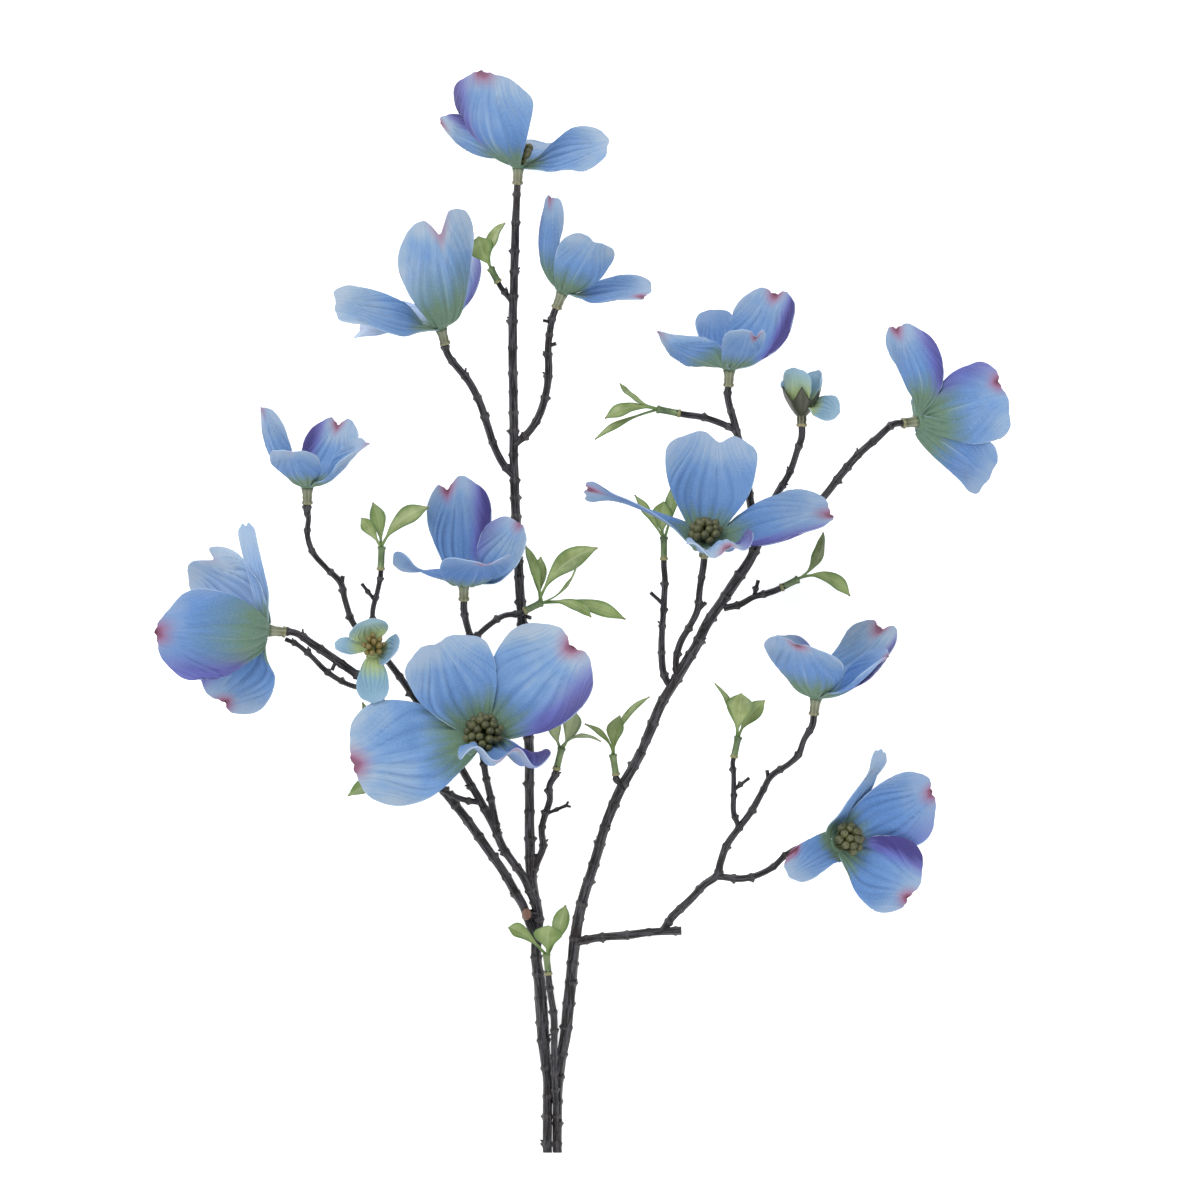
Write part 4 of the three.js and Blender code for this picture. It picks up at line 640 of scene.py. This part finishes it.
def petal_sheet(hub, axis, petal, u, v):
    """Points of a petal's middle surface at u (-1 to 1 across) and v (0 to 1 along)."""
    reach = petal.tip
    height = reach @ axis
    radial = unit(reach - axis * height)
    sideways = np.cross(axis, radial)

    round_off = np.sqrt(1 - np.minimum(abs(u), 1) ** petal.square)
    lobe = petal.shoulder + (1 - petal.shoulder) * round_off + petal.skew * u * v
    s = v * (lobe - petal.notch * NOTCH.depth * bell(u - petal.spot[0], NOTCH.width))

    start, end = np.radians(petal.rise)
    handle = PETAL.lean * np.linalg.norm(reach)
    rib = np.array([
        [PETAL.root, 0],
        [PETAL.root + handle * np.cos(start), handle * np.sin(start)],
        [reach @ radial - handle * np.cos(end), height - handle * np.sin(end)],
        [reach @ radial, height],
    ])
    rest = 1 - s
    place = np.stack([rest**3, 3 * rest**2 * s, 3 * rest * s**2, s**3], -1) @ rib
    way = np.stack([rest**2, 2 * rest * s, s**2], -1) @ np.diff(rib, axis=0)
    slope = np.arctan2(way[..., 1], way[..., 0])[..., None]
    up = axis * np.cos(slope) - radial * np.sin(slope)

    turn = np.radians(petal.roll * smooth(s, 0, PETAL.roll_by) + petal.twist * s * s)[..., None]
    across = sideways * np.cos(turn) + up * np.sin(turn)
    normal = up * np.cos(turn) - sideways * np.sin(turn)

    swell = np.sin(np.pi / 2 * np.minimum(s / petal.fullest, 1) ** PETAL.swell)
    half = petal.width / 2 * (petal.neck + (1 - petal.neck) * swell) * (1 - petal.taper * s)
    half = half * (1 + petal.flare * smooth(s, PETAL.flare_from, 1))
    bend = np.maximum(petal.cup * (1 - PETAL.cup_fade * s) * smooth(s, 0, PETAL.cup_by), 0.01)
    ripple = petal.wave * u * u * np.sin(PETAL.ripples * s + PETAL.ripple_shift * np.sign(u))
    return (
        hub
        + radial * place[..., :1]
        + axis * place[..., 1:]
        + sideways * (petal.sway * np.sin(np.pi * s))[..., None]
        + across * (half * np.sin(bend * u) / bend)[..., None]
        + normal * (half * (1 - np.cos(bend * u)) / bend + ripple)[..., None]
    )


def turn_hem(sheet, u, side, start, degrees):
    """Folds the strip of a petal beyond u = start over, on one side: towards the front if positive."""
    k = int(np.argmin(abs(u[0] - side * start)))
    spine = units(np.gradient(sheet[:, k], axis=0))[:, None]
    angle = math.radians(degrees) * side * smooth(side * u, start, start + HEM_WIDTH)
    return sheet[:, k : k + 1] + turned(sheet - sheet[:, k : k + 1], spine, angle)


def add_petal(piece, hub, axis, petal, chance):
    """One cloth petal, with its ribs, loose edges, curled tip and the colours' places."""
    t = np.linspace(-1, 1, PETAL.columns + 1)
    rows = np.linspace(0, 1, PETAL.rows + 1) ** PETAL.crowding
    v, u = np.meshgrid(rows, np.sin(np.pi / 2 * t), indexing="ij")
    shift, phase = chance.uniform(0, 2 * np.pi, 2)
    tone = chosen(petal.tone, chance.uniform())
    red, (spot_u, spot_v) = petal.blush, petal.spot
    spot = red * bell(u - spot_u, PINCH.width)

    coarse = RAGGED.coarse * np.sin(RAGGED.coarse_waves * u + shift)
    fine = RAGGED.fine * np.sin(RAGGED.fine_waves * u + phase) * (1 + RAGGED.torn * spot)
    sheet = petal_sheet(hub, axis, petal, u, v * (1 + (coarse + fine) * v**6))
    normal = grid_normals(sheet)

    fade = smooth(v, 0, PLEAT.full_by) * (1 - smooth(v, PLEAT.fade_from, PLEAT.fade_to))
    vein = u / (1 - PLEAT.gather * smooth(v, PLEAT.start, 1))
    beat = 2 * np.pi * PLEAT.count * vein
    wander = PLEAT.wander * np.sin(PLEAT.wander_turns * v + shift)
    pleat = np.cos(beat + wander) + PLEAT.second * np.cos(PLEAT.second_pace * beat + phase)
    pleat = pleat * fade * (1 - u**6)
    groove = PLEAT.midrib * bell(u, PLEAT.midrib_width) * fade
    flutter = abs(u) ** 3 * np.sin(FLUTTER.turns * v + phase + 2 * np.sign(u))
    flutter = FLUTTER.height * flutter * smooth(v, 0, FLUTTER.full_by)
    curl = TIP_CURL.height * (np.cos(TIP_CURL.turns * u + shift) + petal.curl)
    curl = curl * smooth(v, TIP_CURL.start, 1)
    pinch = PINCH.height * spot * (spot_v > PINCH.only_past) * smooth(v, PINCH.start, 1)
    height, turns, start = petal.ruffle
    ruffle = height * np.sin(np.pi * turns * u + start) * smooth(v, 0, RUFFLE_BY)
    size = min(1, petal.width / PETAL.usual_width)
    lift = ruffle + size * (PLEAT.height * (pleat - groove) + flutter + curl - pinch)
    sheet = sheet + normal * lift[..., None]
    if petal.hem:
        sheet = turn_hem(sheet, u, *petal.hem)
    sheet[..., 2] = np.maximum(sheet[..., 2], PETAL.lowest)

    side = petal.violet
    violet = abs(side) * smooth(np.sign(side) * u, VIOLET.aside, 1)
    halo = HALO.strength * red * bell(u - spot_u, HALO.width) * bell(v - spot_v, HALO.height)
    rim = spot * smooth(v, spot_v - RIM.start, spot_v - RIM.full)
    speckle = 1 - RIM.speckle * (1 - np.sin(RIM.speckles * u + phase))
    add_blade(
        piece, sheet, PETAL.thickness, across=vein, along=v, tone=tone, leafy=petal.green,
        relief=pleat, violet=violet * smooth(v, VIOLET.start, VIOLET.full),
        blush=np.maximum(halo, rim * speckle),
    )


def cloth_of(bloom, material, chance):
    """A bloom's petals and the disc that joins them."""
    piece = Piece()
    for petal in bloom.petals:
        add_petal(piece, bloom.hub, bloom.axis, petal, chance)
    half, foot, wide = HUB.half, HUB.foot, HUB.radius
    disc = [
        (1.2, -half), (foot, -half), (foot + 0.9, -0.3), (wide, half), (wide - 0.6, half + 0.2), (0.3, 0.4),
    ]
    add_rings(piece, lathe(disc, HUB.sides, bloom.hub, bloom.axis), along=0.02, leafy=0.2)
    piece.build(f"{bloom.name}_cloth", material, f"{bloom.name}_petals")


# ---- bead clusters and collars


def add_bead(piece, centre, outward, radius, length, **marks):
    """An egg-shaped bead with a small dimple at its outer end."""
    angles = np.linspace(0, np.pi, BEAD.rings + 1)[1:-1]
    egg = [(radius * np.sin(a) * (1 - BEAD.taper * np.cos(a)), -length * np.cos(a)) for a in angles]
    egg += [(0.14 * radius, length), (0.06 * radius, length * 0.93)]
    rings = lathe(egg, BEAD.sides, centre, outward)
    add_rings(piece, rings, along=np.repeat(np.linspace(0, 1, len(egg)), BEAD.sides), **marks)


def beads_of(bloom, material, chance):
    """A dome of beads on stalks."""
    hub, axis, cluster = bloom.hub, bloom.axis, bloom.cluster
    piece = Piece()
    side = unit(np.cross(axis, SLANT))
    other = np.cross(axis, side)
    for k in range(cluster.count):
        tilt = math.acos(1 - (k + 0.5) / cluster.count)
        turn = k * GOLDEN_ANGLE
        out = side * math.cos(turn) + other * math.sin(turn)
        spread = cluster.radius * (1 + chance.uniform(-BEAD.uneven, BEAD.uneven))
        place = axis * spread * math.cos(tilt) * BEAD.dome + out * spread * math.sin(tilt)
        centre = hub + axis * (cluster.height + chance.uniform(-BEAD.bob, BEAD.bob)) + place
        foot = hub + axis * (HUB.half + CLEARANCE) + out * min(2, spread * 0.4)
        bow = centre * 0.5 + foot * 0.5 + out * 0.4
        stalk = [[*foot, BEAD.stalk], [*bow, BEAD.stalk], [*centre, BEAD.stalk + 0.1]]
        add_tube(piece, spline(stalk, 1.5), BEAD.stalk_sides, tone=0.5)
        radius = BEAD.radius * cluster.size * chance.uniform(*BEAD.size)
        outward = unit(unit(place) * BEAD.outward + axis + chance.uniform(-BEAD.toss, BEAD.toss, 3))
        looks = dict(tone=chance.uniform(), leafy=cluster.gold)
        add_bead(piece, centre, outward, radius, radius * cluster.stretch, **looks)
    piece.build(f"{bloom.name}_centre", material, f"{bloom.name}_beads")


def add_cup(piece, hub, axis, cup):
    """A thin cup of pointed lobes round the foot of a bud, the middle one upwards."""
    angle = round_angles(CUP.sides)
    front = unit([0, 0, 1] - axis * axis[2])
    ring = spokes(angle, front, np.cross(axis, front))
    spike = (1 - abs(np.sin(CUP.lobes * angle / 2)))[None, :, None]
    share = np.linspace(0, 1, CUP.rows)[:, None, None]
    height = cup.foot + share * (cup.dip - cup.foot + spike * (cup.top - cup.dip))
    radius = cup.low + share**0.8 * (cup.high - cup.low + spike * (cup.wide - cup.high))
    outer, inner = (hub + axis * height + ring * (radius - inside) for inside in (0, CUP.thickness))
    add_rings(piece, np.vstack([outer, inner[::-1]]), along=1, across=np.pi / 8)


def collar_of(bloom, material):
    """The moulded collar under a bloom, with fine ribs and a rolled lip."""
    mouth = -HUB.half - 0.1
    low, narrow = mouth - COLLAR.length, mouth - COLLAR.waist_at
    lip, bulge, waist = low + COLLAR.lip_height, COLLAR.lip, COLLAR.waist
    profile = [
        (1.5, low), (COLLAR.end, low + 0.1), (bulge, low + 0.5), (bulge, lip), (bulge - 0.45, lip + 0.4),
        (waist + 0.1, narrow - 1), (waist, narrow), (waist + 0.3, mouth - 1.5), (COLLAR.mouth, mouth),
        (1.2, mouth),
    ]
    rings = lathe(profile, COLLAR.sides, bloom.hub, bloom.axis)
    angle = round_angles(COLLAR.sides)
    middle = rings.mean(1, keepdims=True)
    ribs = 1 + COLLAR.rib_height * np.cos(COLLAR.ribs * angle)
    rings = middle + (rings - middle) * ribs[None, :, None]
    along = np.repeat(np.linspace(0, 1, len(profile)), COLLAR.sides)
    piece = Piece()
    add_rings(piece, rings, along=along, across=np.tile(angle, len(profile)))
    if bloom.calyx:
        add_cup(piece, bloom.hub, bloom.axis, bloom.calyx)
    piece.build(f"{bloom.name}_socket", material, f"{bloom.name}_collar")


# ---- stems


def add_tube(piece, path, sides, **marks):
    """A round tube through [x, y, z, radius] points."""
    _, normals, binormals = frames_along(path[:, :3])
    ring = spokes(round_angles(sides), normals, binormals)
    add_rings(piece, path[:, None, :3] + ring * path[:, 3, None, None], **marks)


def add_twig(piece, points, chance, spurs=True):
    """A knobbly twig: rings and buds at uneven gaps, small spurs and shallow grooves."""
    path = spline(points, TWIG.step)
    length = np.concatenate([[0], np.cumsum(np.linalg.norm(np.diff(path[:, :3], axis=0), axis=1))])
    sides = TWIG.sides
    angle = round_angles(sides)
    tangents, normals, binormals = frames_along(path[:, :3])
    swell = np.zeros((len(path), sides))
    at = chance.uniform(*KNOT.gap) * KNOT.first
    while at < length[-1] - KNOT.last:
        height, bud = chance.uniform(*KNOT.height), chance.uniform(*KNOT.bud)
        way = chance.uniform(0, 2 * np.pi)
        off = (length - at) / KNOT.width
        ring = np.where(off < 0, bell(off, KNOT.run_up), bell(off, 1))
        near = bell(np.cos(angle - way) - 1, KNOT.bud_width)
        swell += ring[:, None] * (height + bud * near[None, :])
        k = int(np.searchsorted(length, at))
        if spurs and chance.uniform() < SPUR.share and SPUR.rows < k < len(path) - SPUR.rows:
            out = normals[k] * math.cos(way) + binormals[k] * math.sin(way)
            start = path[k, :3] + out * path[k, 3] * SPUR.root
            lean = out * SPUR.outward + tangents[k] * SPUR.onward
            tip = start + lean * chance.uniform(*SPUR.length)
            spur = [[*start, SPUR.radius], [*tip, SPUR.radius * 0.6]]
            add_tube(piece, spline(spur, 1), SPUR.sides)
        at += chance.uniform(*KNOT.gap)
    ends = smooth(length, 0, TWIG.end) * smooth(length[-1] - length, 0, TWIG.end)
    grooves = sum(
        height * np.cos(count * angle[None, :] + twist * length[:, None]) for height, count, twist in GROOVES
    )
    radius = path[:, 3, None] * (TWIG.stout + grooves) + (swell - TWIG.slim) * ends[:, None]
    rings = path[:, None, :3] + spokes(angle, normals, binormals) * radius[..., None]
    rings[..., 2] = np.maximum(rings[..., 2], TWIG.lowest)
    along = np.repeat(length, sides)
    fibre = along * TWIG.grain + chance.uniform(0, 50)
    grain = np.stack([np.tile(np.cos(angle), len(path)), np.tile(np.sin(angle), len(path)), fibre], -1)
    add_rings(piece, rings, grain=grain, along=along, relief=swell.ravel())


def below_bloom(bloom, back):
    """Where a twig is that far back from the collar's lower end."""
    return bloom.hub - bloom.axis * (HUB.half + COLLAR.length + 2 * CLEARANCE + back)


def below_sprig(sprig, back):
    """Where a twig is that far back from the sleeve's lower end."""
    return sprig.base - unit(sprig.top - sprig.base) * (CLEARANCE + back)


def run_on(points, piece):
    """A twig's points, run on to the bloom or sprig that it carries."""
    if piece is None:
        return points
    if hasattr(piece, "hub"):
        below, lead, radius = below_bloom, TWIG.lead, TWIG.seat_radius
    else:
        below, lead, radius = below_sprig, TWIG.lead / 2, points[-1][3]
    return [*points, [*below(piece, lead), radius], [*below(piece, -TWIG.sunk), radius]]


def stem_of(stem, carried, material, chance):
    """A stem with its twigs and stubs, the stubs with a cut face or two prongs where they are large."""
    piece = Piece()
    for load, points in stem.twigs:
        add_twig(piece, run_on(points, carried.get(load)), chance)
    for start, end, radius in stem.stubs:
        add_twig(piece, [[*start, radius], [*end, radius * TWIG.stub_taper]], chance, spurs=False)
        reach, tip, width = np.subtract(end, start), np.array(end, float), PRONG.radius
        way = unit(reach)
        if radius > CUT.least:
            face = [(radius, -1), (radius * 1.1, 0), (radius * 0.8, 0.4), (0.1, 0.3)]
            add_rings(piece, lathe(face, CUT.sides, tip + way * CUT.proud, way), leafy=1)
        if np.linalg.norm(reach) > PRONG.least:
            for side in (-PRONG.spread, PRONG.spread):
                out = unit(way + side * np.cross(way, [0, 0, 1])) * PRONG.length
                add_tube(piece, spline([[*tip, width], [*(tip + out), width * 0.7]], 1), SPUR.sides)
    piece.build(f"{stem.name}_bark", material, stem.name)


# ---- leaf sprigs


def add_leaf(piece, start, leaf, chance, tone):
    """A leaf: a narrow stalk that widens into a blade, folded along its rib."""
    reach, face = leaf.tip, leaf.face
    root, end = start - unit(reach) * LEAF.sunk, start + reach
    middle = (root + end) / 2 + 2 * leaf.bow
    s = np.linspace(0, 1, LEAF.rows + 1)[:, None]
    rib = root * (1 - s) ** 2 + middle * 2 * s * (1 - s) + end * s**2
    along = units((middle - root) * (1 - s) + (end - middle) * s)
    up = units(face - along * (along @ face)[:, None])
    across = np.cross(up, along)
    share = np.maximum((s - LEAF.stalk_end) / (1 - LEAF.stalk_end), 0) ** LEAF.late
    blade = np.maximum(np.sin(np.pi * share), 0) ** LEAF.blunt
    half = np.maximum(LEAF.stalk * (1 - LEAF.stalk_taper * s), leaf.width / 2 * blade)
    u = np.linspace(-1, 1, LEAF.columns + 1)[None, :]
    wave = np.sin(LEAF.waves * s + chance.uniform(0, 6) + 2 * np.sign(u)) * u**2
    wave = LEAF.wave * wave * np.minimum(half, LEAF.wave_most) * blade
    lift = LEAF.fold * abs(u) ** LEAF.fold_power * half + wave
    grid = rib[:, None] + across[:, None] * (half * u)[..., None] + up[:, None] * lift[..., None]
    marks = dict(across=u[:, ::-1], along=s, tone=tone)
    marks = {mark: np.broadcast_to(value, grid.shape[:2]) for mark, value in marks.items()}
    add_blade(piece, grid[:, ::-1], LEAF.thickness, **marks)


def sprig_of(sprig, material, chance):
    """A sprig's leaves and the sleeve that holds them on a twig."""
    base, span = sprig.base, sprig.top - sprig.base
    axis, length = unit(span), np.linalg.norm(span)
    piece = Piece()
    for leaf in sprig.leaves:
        aside = unit(leaf.tip - axis * (leaf.tip @ axis))
        tone = chosen(sprig.tone, chance.uniform())
        add_leaf(piece, sprig.top + aside * LEAF.spread, leaf, chance, tone)
    wide, slim, mouth = SLEEVE.base, SLEEVE.top, SLEEVE.mouth
    profile = [
        (1, 0), (wide, 0.1), (wide, 1.1), (wide - 0.35, 1.5), (slim, length * 0.6),
        (slim + 0.1, length - 1.5), (mouth, length - 0.3), (mouth - 0.3, length + 0.2), (0.6, length - 0.2),
    ]
    along = np.repeat([height / length for _, height in profile], SLEEVE.sides)
    add_rings(piece, lathe(profile, SLEEVE.sides, base, axis), along=along, leafy=1.0)
    piece.build(f"{sprig.name}_leaves", material, sprig.name)


# ---- materials


def colour(text):
    """A linear colour from a hex colour."""
    parts = [int(text[k : k + 2], 16) / 255 for k in (0, 2, 4)]
    linear = [x / 12.92 if x <= 0.04045 else ((x + 0.055) / 1.055) ** 2.4 for x in parts]
    return (*linear, 1.0)


class Shader:
    """A procedural material, put together node by node. Its tint is the colour so far."""

    def __init__(self, name, roughness, **settings):
        self.material = bpy.data.materials.new(name)
        self.material.use_nodes = True
        self.tree = self.material.node_tree
        self.surface = self.tree.nodes["Principled BSDF"]
        self.surface.inputs["Roughness"].default_value = roughness
        for socket, value in settings.items():
            self.surface.inputs[socket.replace("_", " ")].default_value = value

    def add(self, kind, inputs, output=0, **settings):
        node = self.tree.nodes.new(kind)
        for key, value in settings.items():
            setattr(node, key, value)
        for socket, value in inputs.items():
            if isinstance(value, bpy.types.NodeSocket):
                self.tree.links.new(value, node.inputs[socket])
            else:
                node.inputs[socket].default_value = value
        return node.outputs[output]

    def math(self, operation, *values):
        return self.add("ShaderNodeMath", dict(enumerate(values)), operation=operation)

    def times(self, *values):
        return self.math("MULTIPLY", *values)

    def plus(self, *values):
        return self.math("ADD", *values)

    def mark(self, name, output="Fac"):
        return self.add("ShaderNodeAttribute", {}, output, attribute_name=name)

    def noise(self, vector, scale, detail=2):
        return self.add("ShaderNodeTexNoise", {"Vector": vector, "Scale": scale, "Detail": detail})

    def place(self):
        return self.add("ShaderNodeTexCoord", {}, "Object")

    def vector(self, x, y, z):
        return self.add("ShaderNodeCombineXYZ", {0: x, 1: y, 2: z})

    def scaled(self, value, low, high, start=0.0, end=1.0):
        return self.add("ShaderNodeMapRange", {0: value, 1: low, 2: high, 3: start, 4: end})

    def ramp(self, share, stops):
        node = self.tree.nodes.new("ShaderNodeValToRGB")
        elements = node.color_ramp.elements
        while len(elements) < len(stops):
            elements.new(0.5)
        for element, (position, tint) in zip(elements, stops):
            element.position = position
            element.color = colour(tint)
        self.tree.links.new(share, node.inputs[0])
        self.tint = node.outputs[0]

    def mix(self, share, first, second):
        first = colour(first) if isinstance(first, str) else first
        second = colour(second) if isinstance(second, str) else second
        return self.add("ShaderNodeMix", {0: share, 6: first, 7: second}, 2, data_type="RGBA")

    def cover(self, tint, share):
        """Lays a share of a tint over the colour so far."""
        self.tint = self.mix(share, self.tint, tint)

    def layers(self, *layers):
        """Lays tints over the colour so far: none where a value is low, the most where it is high."""
        for tint, value, low, high, most in layers:
            self.cover(tint, self.scaled(value, low, high, 0, most))

    def bump(self, height, strength, distance):
        normal = self.add("ShaderNodeBump", {"Height": height, "Strength": strength, "Distance": distance})
        self.tree.links.new(normal, self.surface.inputs["Normal"])

    def finish(self):
        self.tree.links.new(self.tint, self.surface.inputs["Base Color"])
        return self.material


def petal_material(name, stops, green):
    """Cloth that is tinted along the petal: green at the root, blue above it and pale at the tip."""
    paint = Shader(name, 0.8, Sheen_Weight=0.1)
    vein, v, tone, back = (paint.mark(mark) for mark in ("across", "along", "tone", "back"))
    seed = paint.times(tone, 30)
    streak = paint.noise(paint.vector(paint.times(vein, 7), paint.times(v, 1.6), seed), 1, 3)
    fibre = paint.noise(paint.vector(paint.times(vein, 45), paint.times(v, 3), seed), 1, 3)
    uneven = paint.plus(v, paint.scaled(paint.noise(paint.place(), 60), 0.3, 0.7, -0.18, 0.18))
    paint.ramp(paint.plus(uneven, paint.scaled(streak, 0.3, 0.7, -0.12, 0.12)), stops)
    paint.cover("426fae", paint.times(paint.scaled(tone, 0, 1.6), paint.scaled(v, 0.5, 1, 1, 0.5)))
    paint.layers(
        # tone below 0 gives a paler tint: partly the cloth's own paler colour, partly painted light lifting
        # petals in shade
        ("c3d3ea", tone, 0, -1, 0.7),
        ("527aab", fibre, 0.4, 0.65, 0.35),
        # darker in the pleats' valleys: painted shade in the creases
        ("41699f", paint.mark("relief"), 0, -1.2, 0.45),
    )
    midrib = paint.times(paint.scaled(paint.math("ABSOLUTE", vein), 0.06, 0), paint.scaled(v, 0.75, 0.3))
    paint.cover("a9c0d2", paint.times(paint.times(midrib, back), 0.5))
    wide = paint.times(paint.mark("leafy"), paint.plus(1, back))
    reach = paint.math("DIVIDE", paint.plus(v, paint.scaled(streak, 0.3, 0.7, -0.06, 0.06)), wide)
    weave = paint.noise(paint.place(), 1500, 1)
    violet = paint.times(paint.mark("violet"), paint.scaled(streak, 0.2, 0.65, 0.6, 1))
    blush = paint.mark("blush")
    paint.layers(
        (green, reach, 1.2, 0.5, 0.9),
        ("b4c4d6", weave, 0.45, 0.75, 0.1),
        ("544c9c", violet, 0, 0.55, 0.75),
        ("2e2268", violet, 0.5, 1, 0.85),
        ("8d4668", blush, 0.04, 0.55, 0.8),
        ("4c1226", blush, 0.45, 0.85, 0.92),
        ("9fb6d2", paint.math("ABSOLUTE", paint.math("SUBTRACT", back, 0.5)), 0.4, 0.1, 0.5),  # the cut rim
    )
    paint.bump(paint.plus(paint.times(fibre, 0.6), paint.times(weave, 0.4)), 0.3, 0.0006)
    return paint.finish()


def bead_material():
    paint = Shader("beads", 0.45)
    paint.tint = paint.mix(paint.mark("tone"), "46482a", "62633e")
    paint.layers(
        ("2f2e1b", paint.mark("along"), 0.82, 0.98, 1),
        ("3a3a22", paint.noise(paint.place(), 500), 0.4, 0.7, 0.5),
    )
    paint.cover("7d6c38", paint.times(paint.mark("leafy"), 0.65))
    return paint.finish()


def collar_material(name, stops):
    paint = Shader(name, 0.4)
    paint.ramp(paint.mark("along"), stops)
    stripe = paint.math("COSINE", paint.times(paint.mark("across"), COLLAR.ribs))
    paint.layers(("a5ab92", stripe, 0, 1, 0.3))
    return paint.finish()


def leaf_material():
    """Moulded plastic: pale green blades with darker edges, tan tips and a darker sleeve."""
    paint = Shader("leaf", 0.45)
    v, sleeve, tone = (paint.mark(mark) for mark in ("along", "leafy", "tone"))
    patch, aside = paint.noise(paint.place(), 160, 3), paint.math("ABSOLUTE", paint.mark("across"))
    paint.tint = paint.mix(paint.scaled(patch, 0.35, 0.7), "8d9a66", "64743b")
    paint.layers(
        ("5f7a40", tone, 0.3, 1, 0.5),
        # tone below 0 gives a paler tint: painted light that lifts leaves lying in shade
        ("b9c294", tone, 0, -1, 0.7),
        ("46672f", aside, 0.6, 1, 0.8),
        ("9aa57a", aside, 0.12, 0, 0.4),
        ("4f6f36", v, 0.35, 0, 0.7),
        ("6f6c4a", v, 0.94, 1, 0.7),
    )
    plain = paint.mix(paint.scaled(patch, 0.35, 0.65), "3a5030", "687b4f")
    paint.cover(paint.mix(paint.scaled(v, 0.2, 0.08), plain, "7b7850"), sleeve)
    paint.bump(paint.noise(paint.place(), 700), 0.2, 0.0004)
    return paint.finish()


def bark_material():
    """Dark moulded plastic with long fibres and brownish patches. The fibres' light streaks are partly
    grain and partly painted highlights, and the raised knots carry a painted highlight.
    """
    paint = Shader("bark", 0.3, Specular_IOR_Level=0.3)
    fibre = paint.noise(paint.mark("grain", "Vector"), 3.4, 4)
    # the light end of the fibre streaks is partly grain and partly painted highlight glints
    paint.tint = paint.mix(paint.scaled(fibre, 0.45, 0.6), "050507", "434147")
    paint.layers(
        ("24170f", paint.noise(paint.place(), 45), 0.55, 0.75, 0.6),
        # lighter on the raised knots and buds: a painted highlight
        ("4a4545", paint.mark("relief"), 0.2, 0.8, 0.5),
    )
    paint.cover("6a4c40", paint.mark("leafy"))
    paint.bump(fibre, 1, 0.0012)
    return paint.finish()


# ---- the spray

SEED = 7
BLUES = [(0.08, "3d638b"), (0.35, "567cab"), (0.6, "6c8fba"), (0.85, "88a0b8"), (1.0, "9dacba")]
TEALS = [(0.0, "8faa80"), (0.3, "80a193"), (0.6, "7297a8"), (1.0, "84a2b4")]
OLIVES = [(0.0, "5d563f"), (0.2, "76714f"), (0.4, "5b5c44"), (0.7, "6c7059"), (1.0, "6a7661")]
CALYX_GREENS = [(0.0, "736947"), (0.3, "7d7550"), (0.45, "34321e"), (1.0, "2f311e")]
PETAL_CLOTH = petal_material("petal", BLUES, "56724f")
SMALL_CLOTH = petal_material("small_petal", TEALS, "93a468")
BEADS = bead_material()
COLLARS = collar_material("collar", OLIVES)
CALYX = collar_material("calyx", CALYX_GREENS)
LEAVES = leaf_material()
BARK = bark_material()


def make_spray(chance):
    for bloom in BLOOMS:
        cloth_of(bloom, PETAL_CLOTH, chance)
        beads_of(bloom, BEADS, chance)
        collar_of(bloom, COLLARS)
    for bloom in SMALL_BLOOMS:
        cloth_of(bloom, SMALL_CLOTH, chance)
        beads_of(bloom, BEADS, chance)
        collar_of(bloom, CALYX)
    for sprig in SPRIGS:
        sprig_of(sprig, LEAVES, chance)
    carried = {piece.name: piece for piece in (*BLOOMS, *SMALL_BLOOMS, *SPRIGS)}
    for stem in STEMS:
        stem_of(stem, carried, BARK, chance)


make_spray(np.random.default_rng(SEED))

# ---- the studio, in metres

FLOOR = Record(side=12, drop=0.0003, glow=0.5)
VIEW = Record(centre=(0.00708, 0.004545), width=0.54)  # what the photo shows
CAMERA = Record(height=12, focus=0.045, sensor=36, far=40)
SKY = 0.78


def make_floor():
    half = FLOOR.side / 2
    mesh = bpy.data.meshes.new("floor")
    corners = [(-half, -half), (half, -half), (half, half), (-half, half)]
    mesh.from_pydata([(x, y, -FLOOR.drop) for x, y in corners], [], [(0, 1, 2, 3)])
    shader = Shader("floor", 0.9, Emission_Strength=FLOOR.glow)
    for socket in ("Base Color", "Emission Color"):
        shader.surface.inputs[socket].default_value = colour("f6f6f6")
    mesh.materials.append(shader.material)
    new_object("floor", mesh)


def make_light(name, place, size, power):
    data = bpy.data.lights.new(name, "AREA")
    data.shape = "SQUARE"
    data.size = size
    data.energy = power
    light = new_object(name, data, place)
    light.rotation_mode = "QUATERNION"
    light.rotation_quaternion = (-light.location).to_track_quat("-Z", "Y")


def make_camera():
    data = bpy.data.cameras.new("camera")
    data.sensor_width = CAMERA.sensor
    data.lens = CAMERA.sensor * (CAMERA.height - CAMERA.focus) / VIEW.width
    data.clip_end = CAMERA.far
    bpy.context.scene.camera = new_object("camera", data, (*VIEW.centre, CAMERA.height))


make_floor()
make_light("key", place=(-1.0, 1.4, 2.0), size=1.5, power=38)
make_light("fill", place=(0.9, -1.5, 1.9), size=1.6, power=28)
make_camera()
world = bpy.data.worlds.new("studio")
world.use_nodes = True
background = world.node_tree.nodes["Background"]
background.inputs["Color"].default_value = (1, 1, 1, 1)
background.inputs["Strength"].default_value = SKY
bpy.context.scene.world = world
bpy.context.scene.view_settings.view_transform = "Standard"
